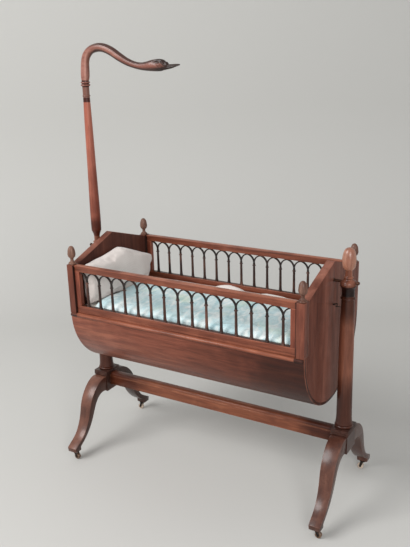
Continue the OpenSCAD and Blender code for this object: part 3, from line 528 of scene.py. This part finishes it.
# What a user may change -----------------------------------------------------------


def shade(name, about, code):
    """A setting that holds a colour."""
    return bpy.props.FloatVectorProperty(name=name, description=about, subtype="COLOR", size=3,
                                         min=0, max=1, default=linear(code)[:3])


class CradleSizes(bpy.types.PropertyGroup):
    """Small sizes that only the looks depend on."""
    worn_edge: bpy.props.FloatProperty(
        name="Worn edge", description="Radius to which the edges of planed timber are worn",
        default=1.8 * MM, min=0.2 * MM, max=4 * MM, unit="LENGTH")
    pillow_fill: bpy.props.FloatProperty(
        name="Pillow fill", description="From slack to tight", default=0.55, min=0, max=1)
    quilt_fill: bpy.props.FloatProperty(
        name="Quilt fill", description="From slack to tight", default=0.3, min=0, max=1)


class CradleStudio(bpy.types.PropertyGroup):
    """The lights, the backdrop and the colour of the quilt."""
    key_power: bpy.props.FloatProperty(
        name="Key light", description="Power of the large soft light", default=205, min=0,
        subtype="POWER")
    ambient: bpy.props.FloatProperty(
        name="Ambient", description="Strength of the even light from all round", default=0.64,
        min=0, max=2)
    paper: shade("Backdrop", "Colour of the floor and the wall", "#c3c2be")
    satin: shade("Satin", "Colour of the quilt in the depth of its folds", "#a6c8ce")


# Finishes ------------------------------------------------------------------------


# Painted shade in the gap where a gallery frame meets the corner posts, x 462 mm from the middle
JOINT_SHADE = (("X", 0.4625, 2.0, 0.0008, "#6a5550"), ("X", -2.0, -0.4625, 0.0008, "#6a5550"))

TIMBERS = {
    "rails": dict(
        name="waxed_mahogany_rails", along="X", seed=3.0,
        shades=("#653525", "#844a36", "#9a5d45"), bands=JOINT_SHADE),
    "stretcher": dict(
        name="waxed_mahogany_stretcher", along="X", seed=5.0,
        shades=("#693a2a", "#8c533b", "#a66c4d"),
        # Painted shade towards both ends, where the stretcher meets the hubs
        bands=(("X", -2.0, -0.43, 0.15, "#a08e86"), ("X", 0.44, 2.0, 0.1, "#92807a"))),
    "hull": dict(
        name="waxed_mahogany_staves", along="X", seed=21.0, gloss=0.42,
        shades=("#6e3c2b", "#8d503d", "#a1624a"),
        bands=(("X", 0.5, 2.0, 0.75, "#a19288"), ("X", 0.38, 2.0, 0.16, "#c4bab0"))),
    "posts": dict(
        name="waxed_mahogany_posts", along="Z", seed=9.0,
        shades=("#592d21", "#784333", "#955a44")),
    "stiles": dict(
        name="waxed_mahogany_stiles", along="Z", seed=13.0,
        shades=("#623023", "#824635", "#9b5a43"), bands=JOINT_SHADE),
    "panels": dict(
        name="waxed_mahogany_panels", along="Z", seed=33.0, gloss=0.5, figure=0.7, polish=0.02,
        shades=("#5e372b", "#815042", "#986453"),
        bands=(("Y", -2.0, -0.13, 0.05, "#cfc0b8"), ("X", -2.0, 0.0, 0.1, "#cfc0b8"))),
    "legs": dict(
        name="waxed_mahogany_legs", along="Z", seed=41.0, gloss=0.3, figure=0.7, polish=0.17,
        shades=("#40261f", "#59372c", "#714b3c")),
    "hubs": dict(
        name="waxed_mahogany_hubs", along="Y", seed=47.0, gloss=0.34, figure=0.7,
        shades=("#2e1e19", "#432b24", "#5e3d33")),
    "columns": dict(
        name="waxed_mahogany_columns", along="Z", seed=55.0, gloss=0.3, figure=0.8,
        shades=("#633b2d", "#8a5642", "#a66e56"),
        # Painted shade: a dark ring under the pivot's flange, the part below it darker, and the lower
        # part darker
        bands=(("Z", 0.838, 0.87, 0.006, "#665850"), ("Z", 0.79, 0.836, 0.07, "#94857b"),
               ("Z", -1.0, 0.44, 0.12, "#8e7d76"))),
    "knob": dict(
        name="rubbed_mahogany_knob", along="Z", seed=59.0, gloss=0.26, figure=0.7, polish=0.3,
        shades=("#875440", "#a9755f", "#c59a85")),
    "pole": dict(
        name="waxed_mahogany_pole", along="Z", seed=61.0, gloss=0.32, figure=0.7,
        shades=("#8f4f3e", "#ad6552", "#bf7a66"),
        bands=(("Z", -1.0, 0.985, 0.03, "#b5a79f"), ("Z", -1.0, 0.9, 0.5, "#a58f84"),
               ("Z", 1.474, 1.488, 0.003, "#6e5650"), ("Z", 1.488, 2.0, 0.001, "#c0e2f0"))),
    "carved": dict(
        name="waxed_mahogany_carved", along="X", seed=63.0, gloss=0.28, figure=0.6, polish=0.12,
        shades=("#7b4d42", "#a26d60", "#bd8b7e"), bands=(("X", -0.51, 2.0, 0.05, "#c9bdb6"),)),
    # Three turned grooves, dark with painted shade
    "collar": dict(
        name="waxed_mahogany_collar", along="Z", seed=67.0, gloss=0.26, figure=0.6,
        shades=("#6f463b", "#8f5e52", "#a7786b"),
        bands=(("Z", 1.529, 1.5336, 0.0008, "#54423d"),
               ("Z", 1.5412, 1.5434, 0.0008, "#4a3a36"),
               ("Z", 1.5512, 1.5536, 0.0008, "#5c4943"))),
    "balusters": dict(
        name="stained_mahogany_balusters", along="Z", seed=71.0, gloss=0.44, handled=0.9,
        shades=("#251a17", "#3b2924", "#6b4537")),
    "arches": dict(
        name="stained_mahogany_arches", along="Z", seed=73.0, gloss=0.44,
        shades=("#1c1614", "#2a201d", "#41302a")),
    "finials": dict(
        name="worn_mahogany_finials", along="Z", seed=77.0, gloss=0.42,
        shades=("#573b31", "#7d5b4d", "#9d7a67")),
}

OTHER_FINISHES = {
    "iron": lambda: forged_iron("forged_iron", ("#1d1a18", "#35302c", "#5b3a28")),
    "oiled iron": lambda: forged_iron("oiled_iron", ("#38271f", "#5a3d30", "#744c38")),
    "porcelain": glazed_porcelain,
    "linen": lambda: woven_linen("washed_linen", "#dcd3cd", "#d0c6c0", 1.3),
    "ticking": lambda: woven_linen("mattress_ticking", "#e4dfd6", "#d3ccc0", 1.6),
    "satin": lambda: watered_satin((*bpy.context.scene.cradle_studio.satin, 1), "#e4ebe9"),
}

MADE_FINISHES = {}


def finish(name):
    """The material of that name, made once."""
    if name not in MADE_FINISHES:
        if name in TIMBERS:
            MADE_FINISHES[name] = waxed_mahogany(**TIMBERS[name])
        else:
            MADE_FINISHES[name] = OTHER_FINISHES[name]()
    return MADE_FINISHES[name]


# Pieces ---------------------------------------------------------------------------


class CRADLE_OT_planed_timber(bpy.types.Operator):
    """Rails, posts, panels, staves, legs and hubs with their edges worn round"""
    bl_idname = "cradle.planed_timber"
    bl_label = "Planed Timber"

    def execute(self, context):
        edge = context.scene.cradle_sizes.worn_edge
        record = {row["node"]: row["material_slot"] for row in frame["record"]["subparts"]}
        bodies = frame["record"]["behaviour"]["bodies"]
        for group, nodes in PLANED.items():
            for node in nodes:
                piece = wear(merged_copy(node, "worn_" + node), edge, finish(group),
                             lambda face: self.worn_and_lit(node, face),
                             lambda face: self.dark_and_shaded(node, face))
                body = next(b for b, members in bodies.items() if node in members)
                place(piece, body, record[node], node)
        return {"FINISHED"}

    @staticmethod
    def worn_and_lit(node, face):
        """Light painted on upper faces: top rails, beads, end panels and one leg."""
        up = face.normal.z
        if node.endswith("top_rail"):
            return 0.95 * (up > 0.9)
        if node == "bead_mouldings":
            return 0.6 * (up > 0.1)
        if node.endswith("_panel"):
            return 0.7 * (up > 0.3)
        if node == "head_front_leg":
            return 0.9 * over(up, 0.15, 0.55)
        return 0.0

    @staticmethod
    def dark_and_shaded(node, face):
        """Painted shade, with dust on the ledge behind the balusters: on that ledge, in the gaps at
        the joints, inside the head panel, and on the legs, most on the back ones."""
        across = face.normal.x
        if node.endswith("bottom_rail"):
            return 0.75 * (face.normal.z > 0.9)
        if node.endswith("_stiles"):
            return 0.85 * (abs(across) > 0.9 and across * face.center.x > 0)
        if node.endswith("_post"):
            return 0.85 * (across * math.copysign(1, face.center.x) < -0.3)
        if node == "head_panel":
            return 0.3 * (across > 0.9)
        if node == "head_back_leg":
            return 0.6
        if node == "foot_back_leg":
            return 0.2 + 0.3 * (across < -0.3)
        if node.endswith("_leg"):
            return 0.25 * (across > 0.7)
        return 0.0


class CRADLE_OT_turned_timber(bpy.types.Operator):
    """Columns, knob, pole, finials, balusters and arches in waxed and stained mahogany"""
    bl_idname = "cradle.turned_timber"
    bl_label = "Turned Timber"

    def execute(self, context):
        for group, nodes in TURNED.items():
            for node in nodes:
                dress(PARTS[node], finish(group))
        return {"FINISHED"}


class CRADLE_OT_ironwork(bpy.types.Operator):
    """Pivot pins, bushes, latch and casters"""
    bl_idname = "cradle.ironwork"
    bl_label = "Ironwork"

    def execute(self, context):
        for node, part in PARTS.items():
            if node.endswith(("_fork", "_axle", "_pin", "_plates", "_bushes")) or "latch" in node:
                dress(part, finish("oiled iron" if node.endswith("_pin") else "iron"))
            if node.endswith("_wheel"):
                dress(part, finish("porcelain"))
        return {"FINISHED"}


class CRADLE_OT_swan_neck(bpy.types.Operator):
    """The carved neck and head of a swan on top of the pole"""
    bl_idname = "cradle.swan_neck"
    bl_label = "Swan Neck"

    def execute(self, context):
        rows = between(NECK_ROWS, 8)
        sides = 56
        rings, black, pale = [], [], []
        for i, (x, z, high, wide) in enumerate(rows):
            before, after = rows[max(0, i - 1)], rows[min(len(rows) - 1, i + 1)]
            run = Vector((after[0] - before[0], after[1] - before[1])).normalized()
            # The first ring lies level on the collar and isn't carved
            if i == 0:
                run = Vector((0, 1))
            ring = []
            for k in range(sides):
                turn = math.tau * k / sides
                side = abs((turn + math.pi) % math.tau - math.pi)
                grow = self.carve(x, side) if i else 0
                up, out = (high + grow) * math.cos(turn), (wide + grow) * math.sin(turn)
                ring.append(((x - run.y * up) * MM + HEAD_X, out * MM,
                             (z + run.x * up) * MM + NECK_BASE_Z))
                # Painted shade and dark places, and a painted highlight line along each side
                black.append(self.dark_and_shaded(x, z, side, grow))
                pale.append(self.worn_and_lit(x, side))
            rings.append(ring)
        piece = grid_skin("carved_swan_neck", rings, True)
        tidy_faces(piece, 0.0000005)
        # Points change their order when they are merged, so each takes the nearest one's value
        where = kdtree.KDTree(len(black))
        for n, point in enumerate(p for ring in rings for p in ring):
            where.insert(point, n)
        where.balance()
        for name, values in (("dark_and_shaded", black), ("worn_and_lit", pale)):
            layer = piece.data.attributes.new(name, "FLOAT", "POINT")
            for v in piece.data.vertices:
                layer.data[v.index].value = values[where.find(v.co)[1]]
        modify(piece, "SUBSURF", levels=1, render_levels=1)
        smooth(piece, 180)
        dress(piece, finish("carved"))
        place(piece, "stand", "mahogany", "swan_neck")
        return {"FINISHED"}

    @staticmethod
    def carve(x, side):
        """How far the carving stands out or is cut in, x along the neck and side round it from
        the top, in radians."""
        def line(at, broad):
            return math.exp(-((side - at) / broad) ** 2)

        def hill(height, at, long, turned, broad):
            return height * math.exp(-((x - at) / long) ** 2 - ((side - turned) / broad) ** 2)

        grow = 0.0
        # A rounded keel along each side of the neck's back, with a hollow above it
        if 30 < x < 330:
            fade = min(over(x, 30, 70), over(x, 330, 280))
            grow += fade * (1.1 * line(0.95, 0.17) - 0.7 * line(0.55, 0.16))
        if x > 300:
            for form in HEAD_FORMS:
                grow += hill(*form)
            # Feather lines swept back from the bill
            fade = min(over(x, 338, 352), over(x, 386, 378))
            grow += 0.8 * fade * math.cos(11 * (side - 0.035 * (x - 360))) * (0.5 < side < 2.6)
        # The mouth is a cut along the bill, with a lip above it
        if x > 380:
            fade = min(over(x, 380, 388), over(x, 437, 429))
            grow -= 1.3 * fade * line(1.7, 0.13)
            grow += 0.5 * fade * line(1.25, 0.2)
            grow += hill(*NOSTRIL)
        return grow

    @staticmethod
    def dark_and_shaded(x, z, side, grow):
        """How dark the neck is: painted shade under its belly and in its cuts, darker along its back,
        and dark on the head and bill.
        """
        black = 0.74 * over(side, 1.14, 0.9) * (0.2 + 0.8 * over(x, 20, 80))
        belly = 2.92 - 1.1 * over(x, 12, 70)
        black += (0.45 + 0.33 * over(x, 12, 70)) * over(side, belly, belly + 0.28) * over(z, 2, 20)
        black += 0.26 * over(x, 330, 360) + 0.66 * over(x, 368, 384)
        black += 0.6 * over(-grow, 0.2, 1.2) * over(x, 310, 330)
        return min(0.93, black)

    @staticmethod
    def worn_and_lit(x, side):
        """How strong a painted highlight is on the side of the neck, in a line that runs along it."""
        line = 2.25 - 0.75 * over(x, 4, 54)
        return math.exp(-((side - line) / 0.3) ** 2) * max(0.15, 1 - max(0, x - 5) / 60)


class CRADLE_OT_pillow(bpy.types.Operator):
    """A white pillow propped against the head panel, lower towards its far end"""
    bl_idname = "cradle.pillow"
    bl_label = "Pillow"

    def execute(self, context):
        low, high = (Vector(c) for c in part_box("pillow"))
        rows, columns = 34, 70
        rings = []
        for i in range(rows + 1):
            v = 2 * i / rows - 1
            ring = [self.at(2 * k / columns - 1, v, 1) for k in range(columns + 1)]
            ring += [self.at(2 * k / columns - 1, v, -1) for k in range(columns - 1, 0, -1)]
            rings.append(ring)
        piece = grid_skin("linen_pillow", rings, True)
        tidy_faces(piece)
        swell(piece, 0.005, 4.0, 0.007, grow=0.02)
        # The quilt holds its lower edge back at quilt_x, and above quilt_z it leans out over it
        quilt_x, quilt_z, slope = -0.393, 0.746, 1.5
        for v in piece.data.vertices:
            # It lies flat where it meets the panel and the mattress
            v.co.x = max(v.co.x, low.x)
            v.co.z = max(v.co.z, low.z - 0.0002)
            v.co.y = min(max(v.co.y, low.y - 0.013), high.y + 0.002)
            v.co.x = min(v.co.x, quilt_x + slope * max(0.0, v.co.z - quilt_z))
        dress(piece, finish("linen"))
        place(piece, "cradle", "linen", "pillow")
        return {"FINISHED"}

    @staticmethod
    def at(u, v, face):
        """A point of the slack pillow: u across the cradle and v up it, both from -1 to 1, and
        face 1 for its front and -1 for its back."""
        foot_x, foot_z = -0.4086, 0.7135
        lean = math.radians(8)
        tall, thick, seam = 0.19, 0.07, 0.003
        near = u < 0
        low = (1 - v) / 2
        # Its top edge is highest at peak and falls away most to the far end
        peak = -0.07
        sag = abs(u - peak) ** 1.15 * (0.032 if u < peak else 0.088)
        h = (1 - low) * (tall - sag)
        # The near end is square, and the far end is round and narrows downwards
        side = 1 - abs(u) ** (8 if near else 2.6)
        puff = seam + (thick / 2 - seam) * math.sqrt(side * (1 - v ** 4))
        y = 0.221 * u if near else 0.212 * u * (1 - 0.05 * (1 - v * v) - 0.1 * low)
        # Both ends lie back against the panel
        back = u * u * ((0.012 + 0.02 * low) if near else (0.005 + 0.03 * low))
        # Creases that run in from the four corners
        corner = max(0.0, abs(u) + abs(v) - 1.0)
        crease = 0.004 * corner * math.sin(9 * math.atan2(1.15 - abs(v), 1.15 - abs(u)) + 2 * face)
        puff = face * puff + (crease + 0.002 * wave(y, h, 0.08, 4.0 + face)) * (1 - v ** 6)
        return Vector((foot_x - back + puff * math.cos(lean) - h * math.sin(lean), y,
                       foot_z + puff * math.sin(lean) + h * math.cos(lean)))


class CRADLE_OT_mattress(bpy.types.Operator):
    """A plain mattress in ticking, sunk along its sides"""
    bl_idname = "cradle.mattress"
    bl_label = "Mattress"

    def execute(self, context):
        piece = merged_copy("mattress", "ticking_mattress")
        modify(piece, "REMESH", mode="VOXEL", voxel_size=0.007, adaptivity=0.0)
        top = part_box("mattress")[1][2]
        # Only its upper 6 cm give way
        soft_depth = 0.06
        for v in piece.data.vertices:
            v.co.z -= sink(v.co.y) * max(0.0, 1 - (top - v.co.z) / soft_depth)
        modify(piece, "SMOOTH", factor=0.5, iterations=4)
        smooth(piece, 60)
        dress(piece, finish("ticking"))
        place(piece, "cradle", "linen", "mattress")
        return {"FINISHED"}


class CRADLE_OT_quilt(bpy.types.Operator):
    """A thin satin quilt, rumpled over the mattress"""
    bl_idname = "cradle.quilt"
    bl_label = "Quilt"

    def execute(self, context):
        low, high = (Vector(c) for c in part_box("quilt"))
        # It reaches past its CAD form to the pillow's foot, and its edge is 3 mm high
        reach, edge_height = 0.031, 0.003
        columns, rows = 150, 64
        rings = []
        for i in range(rows + 1):
            v = 2 * i / rows - 1
            y = low.y + (high.y - low.y) * (v + 1) / 2
            upper, lower = [], []
            for k in range(columns + 1):
                u = 2 * k / columns - 1
                x = low.x - reach + (high.x - low.x + reach) * (u + 1) / 2
                edge = ((1 - abs(u) ** 16) * (1 - abs(v) ** 8)) ** 0.5
                upper.append(Vector((x, y, low.z + edge_height + edge * self.folds(x, y))))
                lower.append(Vector((x, y, low.z)))
            rings.append(upper + lower[-2:0:-1])
        piece = grid_skin("satin_quilt", rings, True)
        tidy_faces(piece)
        swell(piece, 0.0056, 1.5, 0.005, grow=0.03, bending=0.1)
        for v in piece.data.vertices:
            v.co.z = min(max(v.co.z, low.z), high.z + 0.009)
            v.co.x = min(max(v.co.x, low.x - 0.032), high.x)
            v.co.y = min(max(v.co.y, low.y), high.y)
        dress(piece, finish("satin"))
        place(piece, "cradle", "satin", "quilt")
        return {"FINISHED"}

    @staticmethod
    def folds(x, y):
        """Height of the quilt's upper face over its edge, in metres."""
        plump = 0.015 + 0.005 * wave(x, y, 0.16, 1.0)
        # Gathers across the bed, deepest along the front, and creases that cross them
        front = min(1, max(0.25, (0.02 - y) / 0.2))
        gather = 1 - abs(wave(x + 0.25 * y, 0.22 * y + 0.05 * x, 0.042, 8.0))
        cross = 1 - abs(wave(0.5 * x, y + 0.3 * x, 0.075, 12.0))
        fine = 1 - abs(wave(x - 0.6 * y, y, 0.026, 16.0))
        # Heaped where it is pushed against the pillow
        heap_x, heap_width, heap_height = -0.385, 0.035, 0.012
        heap = heap_height * math.exp(-((x - heap_x) / heap_width) ** 2)
        return (plump + heap + front * 0.007 * gather ** 3 + 0.005 * cross ** 3
                + 0.003 * fine ** 3)


class CRADLE_OT_sheet(bpy.types.Operator):
    """A white sheet thrown back along the far side of the bed"""
    bl_idname = "cradle.sheet"
    bl_label = "Sheet"

    def execute(self, context):
        low, high = (Vector(c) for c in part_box("sheet"))
        inset, base = 0.003, 0.001
        columns, rows = 180, 44
        rings = []
        for i in range(rows + 1):
            v = 2 * i / rows - 1
            y = low.y + inset + (high.y - low.y - 2 * inset) * (v + 1) / 2
            ring = []
            for k in range(columns + 1):
                u = 2 * k / columns - 1
                x = low.x + inset + (high.x - low.x - 2 * inset) * (u + 1) / 2
                edge = ((1 - abs(u) ** 8) * (1 - abs(v) ** 4)) ** 0.5
                ring.append(Vector((x, y, low.z + base + self.folds(x, y) * edge
                                    - sink(y) * (1 - edge))))
            rings.append(ring)
        piece = grid_skin("linen_sheet", rings, False)
        tidy_faces(piece)
        modify(piece, "SOLIDIFY", thickness=0.0012, offset=0.0)
        smooth(piece, 180)
        dress(piece, finish("linen"))
        place(piece, "cradle", "linen", "sheet")
        return {"FINISHED"}

    @staticmethod
    def folds(x, y):
        """Height of the sheet over the mattress at rest, in metres: low rolls of linen, and the
        mattress's own sinking."""
        thin_from, thin_over = 0.17, 0.05
        high = 0.003 * (1 - min(1.0, max(0.0, (y - thin_from) / thin_over))) + 0.001
        ridge_y, ridge_width = 0.165, 0.026
        for at, long, tall in SHEET_ROLLS:
            roll = max(0.0, 1 - ((x - at) / long) ** 2) ** 0.7
            high += tall * roll * math.exp(-((y - ridge_y) / ridge_width) ** 2)
        crease = 1 - abs(wave(0.6 * x, 1.5 * y - 0.4 * x, 0.045, 24.0))
        return high + 0.0015 * crease ** 4 - sink(y)


class CRADLE_OT_studio(bpy.types.Operator):
    """A pale sweep of paper, soft light and the camera"""
    bl_idname = "cradle.studio"
    bl_label = "Studio"

    def execute(self, context):
        studio = context.scene.cradle_studio
        self.backdrop()
        self.light("key_light", (-2.3, -3.5, 3.9), (-0.1, 0, 0.8), 3.0, studio.key_power)
        self.light("fill_light", (2.9, -3.4, 2.3), (0.2, 0, 0.6), 2.0, 0.4 * studio.key_power)
        world = bpy.data.worlds.new("studio_air")
        world.use_nodes = True
        air = world.node_tree.nodes["Background"]
        air.inputs["Color"].default_value = linear("#f2f3f5")
        air.inputs["Strength"].default_value = studio.ambient
        context.scene.world = world
        context.scene.view_settings.view_transform = "Standard"
        self.camera(context)
        return {"FINISHED"}

    @staticmethod
    def backdrop():
        """A floor that curves up into a wall behind the cradle, square to the camera."""
        turned = math.radians(31)
        toward = Vector((-math.sin(turned), math.cos(turned), 0))
        across = Vector((toward.y, -toward.x, 0))
        near, bend, radius, top = -6.0, 1.6, 1.2, 6.0
        line = [(near, 0.0), (bend, 0.0)]
        for step in range(1, 13):
            angle = step * math.pi / 24
            line.append((bend + radius * math.sin(angle), radius - radius * math.cos(angle)))
        line.append((bend + radius, top))
        rings = [[toward * d + across * s + Vector((0, 0, z)) for s in (-7, -3, 3, 7)]
                 for d, z in line]
        paper = grid_skin("studio_sweep", rings, False)
        tidy_faces(paper)
        smooth(paper, 60)
        dress(paper, studio_paper(bpy.context.scene.cradle_studio.paper))

    @staticmethod
    def light(name, at, to, size, power):
        """A round soft lamp at one point that shines on another."""
        lamp = bpy.data.lights.new(name, "AREA")
        lamp.shape = "DISK"
        lamp.size = size
        lamp.energy = power
        holder = bpy.data.objects.new(name, lamp)
        holder.location = at
        holder.rotation_euler = (Vector(to) - Vector(at)).to_track_quat("-Z", "Y").to_euler()
        bpy.context.scene.collection.objects.link(holder)

    @staticmethod
    def camera(context):
        """An eye-level view from the front of the foot end, turned a little out of level."""
        azimuth, elevation, roll = (math.radians(d) for d in (30.928, 18.080, -1.661))
        middle, distance = Vector((-0.0293, 0, 0.8334)), 2.8561
        focal_pixels, picture_pixels, sensor_mm = 737.47, 547, 36
        back = Vector((math.sin(azimuth) * math.cos(elevation),
                       -math.cos(azimuth) * math.cos(elevation), math.sin(elevation)))
        right = (-back).cross(Vector((0, 0, 1))).normalized()
        up = right.cross(-back)
        side = math.cos(roll) * right + math.sin(roll) * up
        top = -math.sin(roll) * right + math.cos(roll) * up
        lens = bpy.data.cameras.new("camera")
        lens.lens = focal_pixels / picture_pixels * sensor_mm
        lens.clip_end = 40
        holder = bpy.data.objects.new("camera", lens)
        turned = Matrix((side, top, back)).transposed().to_4x4()
        turned.translation = middle + back * distance
        holder.matrix_world = turned
        context.scene.collection.objects.link(holder)
        context.scene.camera = holder


class CRADLE_PT_panel(bpy.types.Panel):
    """The settings of the cradle and a button for each step"""
    bl_idname = "CRADLE_PT_panel"
    bl_label = "Cradle"
    bl_space_type = "VIEW_3D"
    bl_region_type = "UI"
    bl_category = "Cradle"

    def draw(self, context):
        for group in (context.scene.cradle_sizes, context.scene.cradle_studio):
            for name in group.__annotations__:
                self.layout.prop(group, name)
        for step in STEPS:
            self.layout.operator(step.bl_idname)


STEPS = (
    CRADLE_OT_studio, CRADLE_OT_planed_timber, CRADLE_OT_turned_timber, CRADLE_OT_ironwork,
    CRADLE_OT_swan_neck, CRADLE_OT_mattress, CRADLE_OT_quilt, CRADLE_OT_sheet,
    CRADLE_OT_pillow,
)
CLASSES = (CradleSizes, CradleStudio) + STEPS + (CRADLE_PT_panel,)


def register():
    """Adds the operators, the panel and the settings."""
    for item in CLASSES:
        bpy.utils.register_class(item)
    bpy.types.Scene.cradle_sizes = bpy.props.PointerProperty(type=CradleSizes)
    bpy.types.Scene.cradle_studio = bpy.props.PointerProperty(type=CradleStudio)


def unregister():
    """Takes them away again."""
    del bpy.types.Scene.cradle_studio
    del bpy.types.Scene.cradle_sizes
    for item in reversed(CLASSES):
        bpy.utils.unregister_class(item)


def main():
    """Runs every step."""
    register()
    for step in STEPS:
        getattr(bpy.ops.cradle, step.bl_idname.split(".")[1])()


if __name__ == "__main__":
    main()
